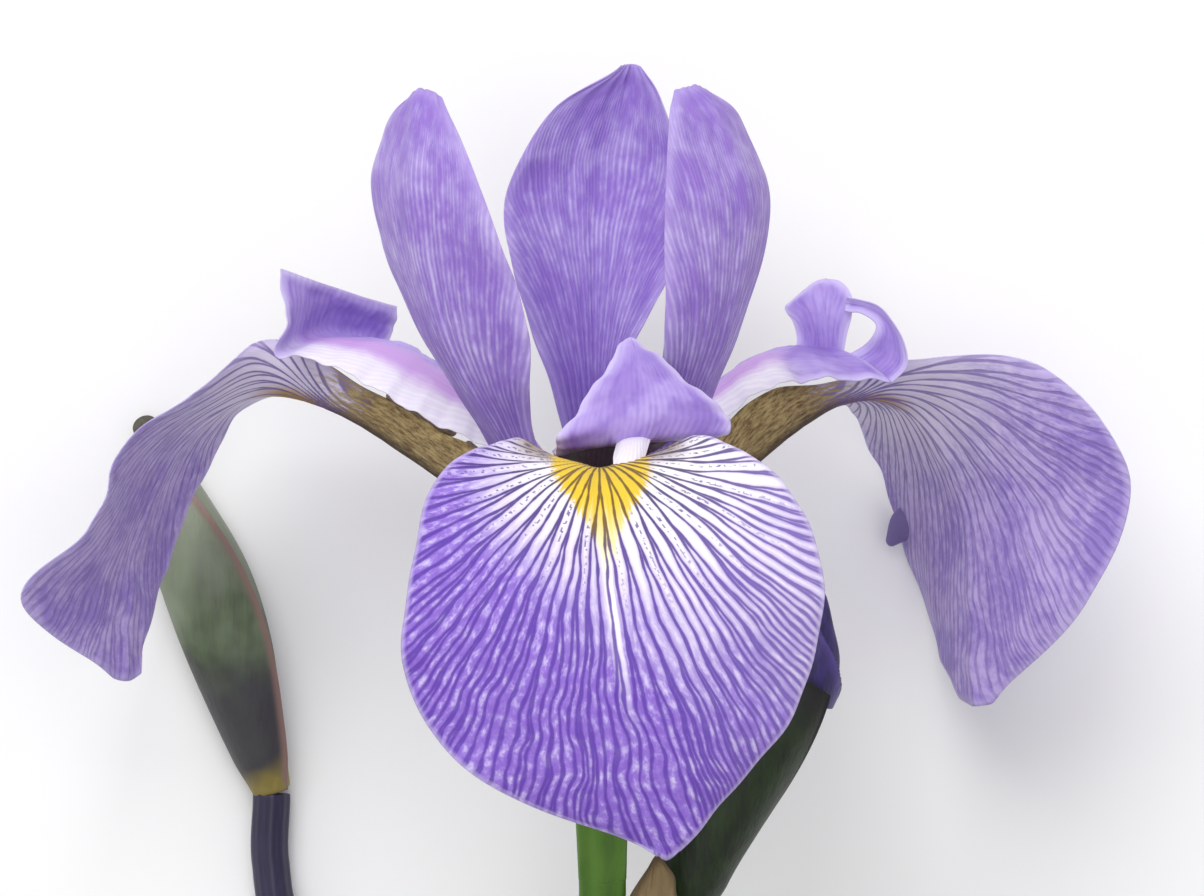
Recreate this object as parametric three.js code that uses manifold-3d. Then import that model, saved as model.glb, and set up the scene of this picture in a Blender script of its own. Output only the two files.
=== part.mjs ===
// A blue flag iris, picked with its stalk and two buds, lying on its back on a flat surface.
//
// Millimetres, +Z up. The flower's own frame has X across it, Y up its axis from the stalk to the
// standards, and Z from the axis out to the front fall. The whole group is then lifted and shifted, so
// that the surface is Z = 0 and the origin is under the middle of the piece.

import * as THREE from 'three';
import { mergeVertices } from 'three/addons/utils/BufferGeometryUtils.js';
import Module from 'manifold-3d';

const wasm = await Module();
wasm.setup();

// ---- driving dimensions ------------------------------------------------------------------------

const AXIS_HEIGHT = 35.85; // the flower's axis above the surface
const ORIGIN_SHIFT = [2.0, 29.3]; // brings the middle of the footprint to the origin
const PETAL_HALF = 0.4; // half the wall of a petal
const SPATHE_HALF = 0.3; // half the wall of a papery bract
const OVARY_RADIUS = 2.35;
const PEDICEL_RADIUS = 1.9;
const STEM_RADIUS = 2.9; // the main stalk
const BRANCH_RADIUS = 1.7; // the side stalk that carries the left bud
const FILAMENT_RADIUS = 0.45;
const ANTHER_RADIUS = 0.8;

// ---- the rails of the petals -------------------------------------------------------------------
//
// A petal is a surface carried along three rails of equal point counts, from the flower's throat to
// its tip: one edge, the midrib and the other edge.

const FALLS = {
  front: {
    edgeA: [[-1.4, -10.4, 3.3], [-3, -4.5, 9], [-4.4, -0.8, 16], [-7.6, 1, 22], [-13.2, -2.4, 27],
      [-15.4, -10.5, 30.5], [-15.3, -19.4, 32.5], [-9.2, -26.6, 34.5], [4.2, -32.2, 35]],
    midrib: [[0, -11, 3.6], [0, -6.5, 9], [0, -2.8, 17], [0, -1.3, 24], [0.3, -4, 30],
      [0.8, -10, 34.5], [2, -18, 36.5], [3.6, -26, 36.5], [5.2, -32.9, 35]],
    edgeB: [[1.4, -10.4, 3.3], [3, -4.5, 9], [4.4, -0.8, 16], [8.6, 1, 22], [15.3, -3, 27],
      [18, -11, 30.5], [16.2, -19.8, 32.5], [11, -27, 34.5], [6.2, -32.2, 35]],
  },
  right: {
    edgeA: [[2.2, -10.4, -2.9], [6.5, -3, -8], [12.5, 3.3, -13], [19, 4, -20], [22.5, 3.4, -26.5],
      [24.2, 0, -32], [27, -7, -35.6], [29.8, -16, -34.4], [31.8, -22, -26]],
    midrib: [[3.1, -11, -1.8], [8, -6, -4.5], [14.8, 0.5, -8.5], [20.5, 4.2, -13], [25.4, 4.6, -17],
      [29, 1.8, -20], [32.3, -5, -22.5], [33, -13, -23], [33.2, -22.6, -22]],
    edgeB: [[3.6, -10.4, -0.4], [8.5, -1, -1.5], [13.8, 4.8, -5.4], [20, 5.8, -9.6], [27, 7.9, -12],
      [38.5, 7, -10.6], [45.6, -2, -9.5], [42.5, -13, -13], [34.6, -22, -21]],
  },
  left: {
    edgeA: [[-3.6, -10.4, -0.4], [-8.5, -1.5, -2], [-14.6, 2.2, -4.8], [-20.5, 5.6, -9], [-28.6, 9.5, -11.5],
      [-34.5, 5.4, -9], [-41, 0, -5.4], [-43.8, -7, -4.5], [-49.6, -13, -4], [-42.5, -19.6, -14]],
    midrib: [[-3.1, -11, -1.8], [-8, -6, -4.5], [-15.2, -1, -8.5], [-21.5, 3, -12.5], [-27.5, 5.2, -15.5],
      [-32.3, 4.2, -17.5], [-37.6, -0.5, -18.5], [-40.8, -9, -18], [-41.3, -14.5, -17.5], [-41.5, -20.2, -16]],
    edgeB: [[-2.2, -10.4, -2.9], [-6.5, -3.5, -8], [-13, 0.8, -12.5], [-20, 4.5, -18], [-26.5, 6, -22],
      [-31.5, 3.5, -24.5], [-34.8, -1.5, -25.5], [-37.8, -9, -24.5], [-39.6, -13.5, -23], [-40.2, -19.6, -18]],
  },
};

const STANDARDS = {
  left: {
    edgeA: [[-3.6, -10.2, 0.5], [-6.2, -4, 0.6], [-9.6, 1, 0.5], [-14.6, 9.5, 1.5], [-19.2, 20, 3.5],
      [-17.8, 26.5, 5], [-15, 29.9, 8.5]],
    midrib: [[-3.1, -10.6, 1.8], [-4.8, -4.5, 3.5], [-8.2, 1, 5.5], [-13.2, 9.8, 9], [-15.6, 20, 11],
      [-15.2, 26.5, 10.5], [-14.3, 29.8, 9.3]],
    edgeB: [[-2.2, -10.2, 2.9], [-3.6, -4, 6], [-5.8, 2, 9], [-5.9, 9.5, 13.5], [-8.9, 19, 15],
      [-11.8, 26, 13], [-13.6, 29.3, 10]],
  },
  back: {
    edgeA: [[-1.4, -10.2, -3.3], [-2.4, -3, -4], [-4.3, 6, -7], [-7.3, 14.5, -8.5], [-8, 22, -9.5],
      [-4.2, 29.4, -10.5], [1.8, 33.2, -11.3]],
    midrib: [[0, -10.6, -3.6], [-0.4, -3, -5], [-0.3, 6, -8.5], [0, 15, -11], [0.6, 24, -12.5],
      [1.8, 30.5, -12], [2.6, 33.4, -11.5]],
    edgeB: [[1.4, -10.2, -3.3], [1.8, -3, -4], [2.4, 7, -7], [5.6, 14.5, -8.5], [8.2, 22, -9.5],
      [5.2, 30, -10.5], [3.4, 33.2, -11.3]],
  },
  right: {
    edgeA: [[2.2, -10.2, 2.9], [3.2, -4, 6], [4.6, 4, 9.5], [5.4, 11, 13.5], [5.4, 20, 14.5],
      [5.7, 27, 13], [6.3, 30.2, 10]],
    midrib: [[3.1, -10.6, 1.8], [4.6, -4.5, 3.5], [7.6, 3, 6], [10.8, 11, 9], [12.4, 20, 10.5],
      [10.4, 27, 9.5], [7.6, 30.4, 9]],
    edgeB: [[3.6, -10.2, 0.5], [5.8, -4, 0.6], [8.8, 3.5, 0.5], [12, 11.5, 1], [14, 21, 2.5],
      [11.8, 28, 5], [8.6, 30.3, 8.2]],
  },
};

// A style arm arches over the haft of its fall, and its end turns up into a crest.
const STYLES = {
  front: [{
    edgeA: [[-0.9, -8.6, 1.2], [-2.2, -3.4, 6], [-3.2, -1.2, 10.5], [-3.8, -0.4, 14.5], [-3.6, -0.1, 18],
      [-3.4, 1.2, 19], [-1.6, 3.6, 18.6], [0.4, 6.6, 17.4], [2.2, 9.1, 15.8]],
    midrib: [[0, -8, 0.9], [0, -1.6, 5], [0.3, 1.2, 10], [0.9, 1.6, 15], [2.4, 0.6, 18.8],
      [3.2, 2.4, 19.8], [3.2, 4.8, 19], [3, 7.2, 17.6], [2.6, 9.3, 16]],
    edgeB: [[0.9, -8.6, 1.2], [2.2, -3.4, 6], [3.6, -0.8, 10.5], [6, 0.6, 14], [10, 1.2, 17],
      [10.7, 2.6, 17.5], [8.6, 4.6, 17.6], [5.4, 7.2, 16.8], [3, 9.1, 15.8]],
  }],
  left: [{
    edgeA: [[-1.5, -8.6, 0.2], [-6.6, -0.6, -1.6], [-14.6, 3.6, -4.4], [-20.3, 6.8, -6.8], [-24.6, 7.8, -7.4],
      [-27.8, 8.1, -7.2], [-27.2, 10.2, -7.4], [-27.1, 12.6, -8], [-27.6, 15.6, -8.8]],
    midrib: [[-0.8, -8, -0.5], [-6.4, 1.4, -4], [-12.4, 6, -8.6], [-17.4, 9, -12], [-20.8, 9.6, -13.4],
      [-23.6, 9.9, -14], [-24.2, 11, -14], [-23.4, 12.6, -13.8], [-22.6, 14, -13.4]],
    edgeB: [[-0.6, -8.6, -1.4], [-4.8, -0.8, -5.6], [-11.4, 3.8, -11.4], [-15.6, 7.4, -15], [-17.4, 8.4, -16.8],
      [-18.8, 8.8, -18], [-18.3, 10, -18.2], [-17.9, 11.2, -18.2], [-17.9, 12.6, -18]],
  }],
  right: [{
    edgeA: [[1.5, -8.6, 0.2], [6.6, -0.4, -1.2], [13.4, 5.6, -3.8], [18, 6.8, -6], [22, 6.5, -7.2],
      [25.1, 5.8, -7.6]],
    midrib: [[0.8, -8, -0.5], [6.2, 1.6, -4], [11.6, 7, -8], [15.8, 8.8, -11], [19, 8.8, -12],
      [21.2, 8.6, -11.8]],
    edgeB: [[0.6, -8.6, -1.4], [4.8, -0.6, -5.6], [11.2, 4.4, -11], [14.6, 6.6, -14], [16.6, 7.8, -15],
      [17.6, 8.6, -14.6]],
  }, { // the crest lobe that curls inwards
    edgeA: [[17, 8.6, -12.8], [17.1, 9.8, -13], [16.8, 11.1, -13.4], [16.1, 12.3, -14], [16.8, 13.1, -14.2],
      [18.2, 14.3, -13.8]],
    midrib: [[19.2, 8.2, -12.2], [19.2, 10, -12], [19, 11.6, -12], [18.8, 13, -12.6], [18.8, 14, -13.2],
      [18.9, 14.7, -13.6]],
    edgeB: [[21.1, 8.2, -12], [21.4, 10, -11.8], [21.8, 11.6, -11.8], [21.8, 13.4, -12], [20.9, 14.6, -12.6],
      [19.6, 14.9, -13.2]],
  }, { // the crest lobe that curls round an open gap
    edgeA: [[20.7, 7.9, -11], [22.6, 8.9, -10.2], [23.5, 9.8, -9.6], [23.8, 10.9, -9.6], [22.6, 11.8, -10],
      [21.2, 12, -10.9]],
    midrib: [[23.2, 6.6, -9.6], [24.8, 8, -9.6], [25.2, 9.6, -9.4], [24.8, 11, -9.6], [23.4, 12.2, -10.2],
      [21.3, 12.7, -11.3]],
    edgeB: [[25, 5.7, -7.7], [26.4, 7.2, -7.8], [26.2, 9.2, -8], [25.2, 11.1, -8.6], [23.9, 12.5, -9.4],
      [21.4, 13.3, -10.7]],
  }],
};

// ---- the routes of the stalks, stamens and buds --------------------------------------------------

const STAMENS = {
  front: { filament: [[0, -8.2, 3.2], [0, -5.6, 6], [0.2, -3.6, 9.4]], anther: [[0.2, -3.2, 10.4], [0.6, -1, 17]] },
  left: {
    filament: [[-3.2, -7.4, -1.8], [-7.6, -2.8, -4.4], [-11.6, 0.6, -7]],
    anther: [[-12.4, 1.4, -7.5], [-18.4, 4.9, -11.2]],
  },
  right: {
    filament: [[3.2, -7.2, -1.8], [7.4, -2.6, -4.4], [10.6, 1.2, -6.6]],
    anther: [[11.4, 2, -7.1], [16.8, 4.9, -10.4]],
  },
};

const TUBE = { path: [[0, -12, 0.4], [0, -15.5, 0.2], [0, -19, 0]], radii: [3.6, 2.6, 2.2] };
const OVARY = { path: [[0, -19.4, 0], [0.1, -27, -0.2], [0.2, -36, -1.6]], radii: [2.1, OVARY_RADIUS, 2.1] };
const PEDICEL = { path: [[0.2, -36.5, -1.7], [0.2, -38.5, -2.4], [0.1, -42.5, -5], [0, -49, -10.6], [0, -56, -17]] };
const STEM = { path: [[0, -57, -18.2], [0, -66, -25.6], [0, -75, -30.4], [0, -84, -32.6], [0, -92, -32.9]] };

const RIGHT_BUD = {
  petals: { path: [[17.3, -19.2, -8.1], [18, -17.2, -8], [18.5, -14.6, -7.8], [18.6, -11.5, -7.6]],
    radii: [2.9, 2.8, 1.6, 0.5] },
  spathe: { path: [[3.4, -56.6, -17], [5.4, -48, -11.5], [8.2, -37, -8.6], [12.3, -28.6, -8.3], [17, -19.8, -8.1]],
    radii: [1.3, 2.1, 2.9, 3.2, 3.2] },
};

const LEFT_BUD = {
  stalk: [[-3, -67, -28.2], [-10.5, -61, -31], [-21, -52.6, -33.4], [-28, -43.4, -33.9], [-29.6, -37, -34],
    [-29.5, -31.2, -34]],
  spathe: { path: [[-29.5, -30.6, -33.9], [-31, -24.8, -33], [-33, -17.4, -32.2], [-35.2, -10.8, -32.2],
    [-38, -4, -33.1], [-40.2, 0.6, -33.8]], radii: [1.65, 2.6, 3.5, 3.6, 2.6, 1.3] },
  tip: { path: [[-40.4, 1.1, -34], [-41.2, 3, -34.2]], radii: [1.2, 1] },
};

// The two papery valves that hold the pedicel and the right bud together at the head of the stalk, and
// the bract under the side stalk.
const BRACTS = {
  spathe_front: {
    edgeA: [[-2.9, -56.4, -16.4], [-2.8, -49, -8.8], [0.2, -43, -2.2], [2.6, -38, -0.4], [4.6, -34.8, -2]],
    midrib: [[1.4, -56.6, -13.6], [1.8, -49, -7.4], [3.4, -43, -2.2], [4.4, -38, -1.6], [5, -34.6, -2.4]],
    edgeB: [[5.6, -56.2, -14.6], [7.8, -49, -8.8], [8, -43, -6], [6.6, -38, -4.4], [5.5, -34.9, -3]],
  },
  spathe_back: {
    edgeA: [[-3.4, -54.6, -17.6], [-3.2, -50, -12.6], [-2.6, -44, -8.4], [-1, -40, -6.6]],
    midrib: [[1.4, -53.6, -20.8], [2.2, -50, -17.4], [1.8, -44, -13], [0.8, -39, -8.8]],
    edgeB: [[6, -54.4, -20.4], [6.8, -50, -17], [4.4, -44, -14.2], [2.2, -39.6, -9.8]],
  },
  branch_bract: {
    edgeA: [[-3.2, -71, -26.2], [-6.6, -66.8, -27.2], [-11, -63.4, -29.8], [-15.2, -60, -32.2]],
    midrib: [[-4, -71.8, -29], [-7.4, -68, -30.6], [-11.8, -64.6, -32.4], [-15.6, -60.8, -33.4]],
    edgeB: [[-3.2, -71, -31.6], [-6.6, -66.8, -33.4], [-11.4, -63, -34.4], [-15.4, -60, -34.2]],
  },
};

// The outer valve of a bud's spathe stands off the spathe by `off` and reaches round it by `reach`.
const OUTER_VALVE = { off: 0.95, reach: 1.5, end: 0.9 };

// ---- colours -------------------------------------------------------------------------------------

const finish = (color, roughness) => new THREE.MeshStandardMaterial({ color, roughness, metalness: 0 });
const VIOLET = finish(0x9a7fd0, 0.6);
const LILAC = finish(0xc0aee4, 0.6);
const GREEN = finish(0x5c7a35, 0.55);
const PALE_GREEN = finish(0xa9b98a, 0.6);
const DARK_GREEN = finish(0x2f4420, 0.5);
const TAN = finish(0xa88a5c, 0.8);
const DARK_VIOLET = finish(0x3a2a68, 0.6);
const CREAM = finish(0xe6dfc4, 0.7);

// ---- shapes --------------------------------------------------------------------------------------

const rail = (points) => new THREE.CatmullRomCurve3(points.map((p) => new THREE.Vector3(...p)), false, 'catmullrom', 0.5);

// The surface carried by three rails: a parabola across them at every step, with u from throat to tip
// and v from -1 at one edge to 1 at the other.
function railedSurface({ edgeA, midrib, edgeB }) {
  const [a, m, b] = [edgeA, midrib, edgeB].map(rail);
  return (u, v) => {
    const [pa, pm, pb] = [a, m, b].map((curve) => curve.getPoint(u));
    const reach = pb.clone().sub(pa).multiplyScalar(v / 2);
    const cup = pa.clone().add(pb).multiplyScalar(0.5).sub(pm).multiplyScalar(v * v);
    return pm.add(reach).add(cup);
  };
}

// A closed body from points and triangles, with its normals worked out.
function body(positions, index) {
  const geometry = new THREE.BufferGeometry();
  geometry.setAttribute('position', new THREE.Float32BufferAttribute(positions.flatMap((p) => p.toArray()), 3));
  geometry.setIndex(index);
  geometry.computeVertexNormals();
  return geometry;
}

// A wall of twice `half` in thickness on a surface of u and v, closed all round.
function sheet(surface, half, stepsU, stepsV) {
  const d = 1e-3;
  const positions = [];
  for (const side of [1, -1]) {
    for (let i = 0; i <= stepsU; i += 1) {
      for (let j = 0; j <= stepsV; j += 1) {
        const u = THREE.MathUtils.clamp(i / stepsU, d, 1 - d);
        const v = (2 * j) / stepsV - 1;
        const along = surface(u + d, v).sub(surface(u - d, v));
        const across = surface(u, v + d).sub(surface(u, v - d));
        const normal = along.cross(across).normalize();
        positions.push(surface(i / stepsU, v).addScaledVector(normal, side * half));
      }
    }
  }
  const row = stepsV + 1;
  const back = (stepsU + 1) * row;
  const at = (i, j) => i * row + j;
  const index = [];
  const quad = (p, q, r, s) => index.push(p, q, r, p, r, s);
  for (let i = 0; i < stepsU; i += 1) {
    for (let j = 0; j < stepsV; j += 1) {
      quad(at(i, j), at(i + 1, j), at(i + 1, j + 1), at(i, j + 1));
      quad(back + at(i, j), back + at(i, j + 1), back + at(i + 1, j + 1), back + at(i + 1, j));
    }
  }
  const rim = [];
  for (let i = 0; i < stepsU; i += 1) rim.push(at(i, 0));
  for (let j = 0; j < stepsV; j += 1) rim.push(at(stepsU, j));
  for (let i = stepsU; i > 0; i -= 1) rim.push(at(i, stepsV));
  for (let j = stepsV; j > 0; j -= 1) rim.push(at(0, j));
  rim.forEach((p, k) => {
    const q = rim[(k + 1) % rim.length];
    quad(p, back + p, back + q, q);
  });
  return body(positions, index);
}

// The surface of an outer valve round a bud: u runs up the bud's route from `start`, v turns about it
// from `turn`, and the valve narrows to its tip.
function valveSurface({ path, radii }, turn, start) {
  const route = rail(path);
  const size = rail(radii.map((r, k) => [r, k, 0]));
  return (u, v) => {
    const t = start + u * (OUTER_VALVE.end - start);
    const along = route.getTangent(t);
    const up = new THREE.Vector3(0, 0, 1).addScaledVector(along, -along.z).normalize();
    const out = along.clone().cross(up);
    const angle = turn + v * OUTER_VALVE.reach * (1 - 0.75 * u ** 3);
    const radius = size.getPoint(t).x + OUTER_VALVE.off;
    return route.getPoint(t)
      .addScaledVector(up, radius * Math.cos(angle))
      .addScaledVector(out, radius * Math.sin(angle));
  };
}

// A stalk along a route, round in section, whose radius runs smoothly through `radii`.
function stalk(path, radii, steps, sides) {
  const route = rail(path);
  const size = rail(radii.map((r, k) => [r, k, 0]));
  const frames = route.computeFrenetFrames(steps, false);
  const positions = [];
  for (let i = 0; i <= steps; i += 1) {
    const centre = route.getPointAt(i / steps);
    const radius = size.getPoint(i / steps).x;
    for (let j = 0; j < sides; j += 1) {
      const angle = (2 * Math.PI * j) / sides;
      positions.push(centre.clone()
        .addScaledVector(frames.normals[i], radius * Math.cos(angle))
        .addScaledVector(frames.binormals[i], radius * Math.sin(angle)));
    }
  }
  const index = [];
  for (let i = 0; i < steps; i += 1) {
    for (let j = 0; j < sides; j += 1) {
      const [p, q] = [i * sides + j, i * sides + ((j + 1) % sides)];
      index.push(p, q, q + sides, p, q + sides, p + sides);
    }
  }
  const last = steps * sides;
  for (let j = 1; j < sides - 1; j += 1) {
    index.push(0, j + 1, j);
    index.push(last, last + j, last + j + 1);
  }
  return body(positions, index);
}

function solid(geometry) {
  const bare = new THREE.BufferGeometry();
  bare.setAttribute('position', geometry.getAttribute('position'));
  bare.setIndex(geometry.getIndex());
  const merged = mergeVertices(bare, 1e-4);
  return new wasm.Manifold(new wasm.Mesh({
    numProp: 3,
    vertProperties: merged.getAttribute('position').array,
    triVerts: new Uint32Array(merged.getIndex().array),
  }));
}

function joined(geometries) {
  const whole = geometries.map(solid).reduce((sum, next) => sum.add(next)).getMesh();
  const geometry = new THREE.BufferGeometry();
  geometry.setAttribute('position', new THREE.Float32BufferAttribute(whole.vertProperties, 3));
  geometry.setIndex([...whole.triVerts]);
  geometry.computeVertexNormals();
  return geometry;
}

// ---- the flower ----------------------------------------------------------------------------------

const iris = new THREE.Group();

function add(name, geometry, material) {
  const mesh = new THREE.Mesh(geometry, material);
  mesh.name = name;
  iris.add(mesh);
}

for (const [side, rails] of Object.entries(FALLS)) {
  add(`fall_${side}`, sheet(railedSurface(rails), PETAL_HALF, 26, 8), VIOLET);
}
for (const [side, rails] of Object.entries(STANDARDS)) {
  add(`standard_${side}`, sheet(railedSurface(rails), PETAL_HALF, 16, 6), VIOLET);
}
for (const [side, [arm, ...lobes]] of Object.entries(STYLES)) {
  const armBody = sheet(railedSurface(arm), PETAL_HALF, 20, 6);
  const lobeBodies = lobes.map((lobe) => sheet(railedSurface(lobe), PETAL_HALF, 10, 4));
  add(`style_${side}`, lobeBodies.length ? joined([armBody, ...lobeBodies]) : armBody, LILAC);
}
for (const [side, { filament, anther }] of Object.entries(STAMENS)) {
  const f = FILAMENT_RADIUS;
  const a = ANTHER_RADIUS;
  add(`filament_${side}`, stalk(filament, [f, f, f], 6, 8), CREAM);
  add(`anther_${side}`, stalk(anther, [a * 0.5, a, a, a * 0.6], 6, 8), CREAM);
}

add('perianth_tube', stalk(TUBE.path, TUBE.radii, 6, 14), GREEN);
add('ovary', stalk(OVARY.path, OVARY.radii, 8, 14), GREEN);
add('pedicel', stalk(PEDICEL.path, [PEDICEL_RADIUS, PEDICEL_RADIUS], 8, 12), GREEN);
add('main_stem', stalk(STEM.path, [STEM_RADIUS - 0.2, STEM_RADIUS], 12, 14), GREEN);

add('bud_right_petals', stalk(RIGHT_BUD.petals.path, RIGHT_BUD.petals.radii, 8, 12), DARK_VIOLET);
add('bud_right_spathe', stalk(RIGHT_BUD.spathe.path, RIGHT_BUD.spathe.radii, 14, 14), DARK_GREEN);

add('branch_stem', stalk(LEFT_BUD.stalk, [BRANCH_RADIUS, BRANCH_RADIUS], 14, 10), DARK_VIOLET);
add('bud_left_spathe', stalk(LEFT_BUD.spathe.path, LEFT_BUD.spathe.radii, 14, 14), GREEN);
add('bud_left_tip', stalk(LEFT_BUD.tip.path, LEFT_BUD.tip.radii, 2, 10), DARK_GREEN);

for (const [name, rails] of Object.entries(BRACTS)) {
  add(name, sheet(railedSurface(rails), SPATHE_HALF, 10, 6), name === 'spathe_front' ? TAN : PALE_GREEN);
}
add('bud_left_valve', sheet(valveSurface(LEFT_BUD.spathe, -0.5, 0), SPATHE_HALF, 12, 8), GREEN);
add('bud_right_valve', sheet(valveSurface(RIGHT_BUD.spathe, 0.4, 0.45), SPATHE_HALF, 12, 8), DARK_GREEN);

iris.position.set(ORIGIN_SHIFT[0], ORIGIN_SHIFT[1], AXIS_HEIGHT);

export default iris;
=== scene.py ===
"""A blue flag iris, picked with its stalk and two buds and laid on its back on a pale surface.

The shapes are worked out in the flower's own frame, in millimetres: X runs across the flower, Y up its axis
from the stalk to the standards, and Z from the axis out to the front fall. Every mesh is lifted and shifted
into the row frame, in metres, as it is made, so that each object stays at the origin.
"""

from __future__ import annotations

import logging
from collections.abc import Callable
from dataclasses import dataclass, field
from enum import Enum
from typing import NamedTuple

import bpy
import numpy as np
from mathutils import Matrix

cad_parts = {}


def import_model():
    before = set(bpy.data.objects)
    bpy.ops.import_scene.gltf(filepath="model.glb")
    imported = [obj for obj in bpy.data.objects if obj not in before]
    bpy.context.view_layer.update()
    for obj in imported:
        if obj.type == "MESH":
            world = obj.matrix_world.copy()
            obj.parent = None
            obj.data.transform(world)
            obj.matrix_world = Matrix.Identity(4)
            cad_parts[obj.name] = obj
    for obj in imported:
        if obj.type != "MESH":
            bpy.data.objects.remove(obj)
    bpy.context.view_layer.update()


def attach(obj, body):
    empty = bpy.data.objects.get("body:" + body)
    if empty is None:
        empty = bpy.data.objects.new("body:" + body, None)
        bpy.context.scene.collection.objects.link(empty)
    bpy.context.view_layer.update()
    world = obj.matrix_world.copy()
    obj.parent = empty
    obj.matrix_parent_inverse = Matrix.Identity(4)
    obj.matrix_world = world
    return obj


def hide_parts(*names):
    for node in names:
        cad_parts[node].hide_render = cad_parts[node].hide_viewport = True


LOG = logging.getLogger("iris")
MM = 0.001
FINE_STEPS = 600  # how finely a line is cut when its length is measured
END_RINGS = 8  # how many rings round off each end of a tube
CROWD = 1.35  # radians: the columns of a petal crowd towards its edges as a sine does towards its peak
INLAND = 9.0  # the margin mark of a point that is far from any edge
COLORS = {"out": 2, "data_type": "RGBA"}  # for a Mix node: mix two colours, and give the colour back
SMOOTH = {"interpolation_type": "SMOOTHSTEP"}  # for a Map Range node: ease at both ends

Socket = bpy.types.NodeSocket
Shape = Callable[[np.ndarray, np.ndarray], np.ndarray]  # a profile's scale, for a share along and a turn

# ---- places, the same as the frame's ---------------------------------------------------------------------

AXIS_HEIGHT = 35.85  # the flower's axis above the surface
ORIGIN_SHIFT = (2.0, 29.3)  # brings the middle of the footprint to the origin


@dataclass(frozen=True)
class Rails:
    """The three lines that carry a petal from the throat to its tip, each through as many points."""

    edge_a: tuple[tuple[float, float, float], ...]
    midrib: tuple[tuple[float, float, float], ...]
    edge_b: tuple[tuple[float, float, float], ...]

    def surface(self, u: np.ndarray, v: np.ndarray) -> np.ndarray:
        """Work out the petal's surface.

        At every step u along the rails, the points across are a parabola through edge A, the midrib and
        edge B: midrib + v (B - A) / 2 + v squared ((A + B) / 2 - midrib).

        Args:
            u: The steps along the rails, from 0 at the throat to 1 at the tip.
            v: The steps across, from -1 at edge A to 1 at edge B.

        Returns:
            The points, as rows of u and columns of v.
        """
        a, m, b = (smooth_line(line, u)[:, None] for line in (self.edge_a, self.midrib, self.edge_b))
        across = v[None, :, None]
        return m + across * (b - a) / 2 + across**2 * ((a + b) / 2 - m)


@dataclass(frozen=True)
class Route:
    """The middle line of a stalk or a bud, and its radii from one end to the other."""

    path: tuple[tuple[float, float, float], ...]
    radii: tuple[float, ...]


FALLS = {
    "front": Rails(
        edge_a=(
            (-1.4, -10.4, 3.3), (-3, -4.5, 9), (-4.4, -0.8, 16), (-7.6, 1, 22), (-13.2, -2.4, 27),
            (-15.4, -10.5, 30.5), (-15.3, -19.4, 32.5), (-9.2, -26.6, 34.5), (4.2, -32.2, 35),
        ),
        midrib=(
            (0, -11, 3.6), (0, -6.5, 9), (0, -2.8, 17), (0, -1.3, 24), (0.3, -4, 30), (0.8, -10, 34.5),
            (2, -18, 36.5), (3.6, -26, 36.5), (5.2, -32.9, 35),
        ),
        edge_b=(
            (1.4, -10.4, 3.3), (3, -4.5, 9), (4.4, -0.8, 16), (8.6, 1, 22), (15.3, -3, 27),
            (18, -11, 30.5), (16.2, -19.8, 32.5), (11, -27, 34.5), (6.2, -32.2, 35),
        ),
    ),
    "right": Rails(
        edge_a=(
            (2.2, -10.4, -2.9), (6.5, -3, -8), (12.5, 3.3, -13), (19, 4, -20), (22.5, 3.4, -26.5),
            (24.2, 0, -32), (27, -7, -35.6), (29.8, -16, -34.4), (31.8, -22, -26),
        ),
        midrib=(
            (3.1, -11, -1.8), (8, -6, -4.5), (14.8, 0.5, -8.5), (20.5, 4.2, -13), (25.4, 4.6, -17),
            (29, 1.8, -20), (32.3, -5, -22.5), (33, -13, -23), (33.2, -22.6, -22),
        ),
        edge_b=(
            (3.6, -10.4, -0.4), (8.5, -1, -1.5), (13.8, 4.8, -5.4), (20, 5.8, -9.6), (27, 7.9, -12),
            (38.5, 7, -10.6), (45.6, -2, -9.5), (42.5, -13, -13), (34.6, -22, -21),
        ),
    ),
    "left": Rails(
        edge_a=(
            (-3.6, -10.4, -0.4), (-8.5, -1.5, -2), (-14.6, 2.2, -4.8), (-20.5, 5.6, -9),
            (-28.6, 9.5, -11.5), (-34.5, 5.4, -9), (-41, 0, -5.4), (-43.8, -7, -4.5), (-49.6, -13, -4),
            (-42.5, -19.6, -14),
        ),
        midrib=(
            (-3.1, -11, -1.8), (-8, -6, -4.5), (-15.2, -1, -8.5), (-21.5, 3, -12.5),
            (-27.5, 5.2, -15.5), (-32.3, 4.2, -17.5), (-37.6, -0.5, -18.5), (-40.8, -9, -18),
            (-41.3, -14.5, -17.5), (-41.5, -20.2, -16),
        ),
        edge_b=(
            (-2.2, -10.4, -2.9), (-6.5, -3.5, -8), (-13, 0.8, -12.5), (-20, 4.5, -18), (-26.5, 6, -22),
            (-31.5, 3.5, -24.5), (-34.8, -1.5, -25.5), (-37.8, -9, -24.5), (-39.6, -13.5, -23),
            (-40.2, -19.6, -18),
        ),
    ),
}

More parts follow.
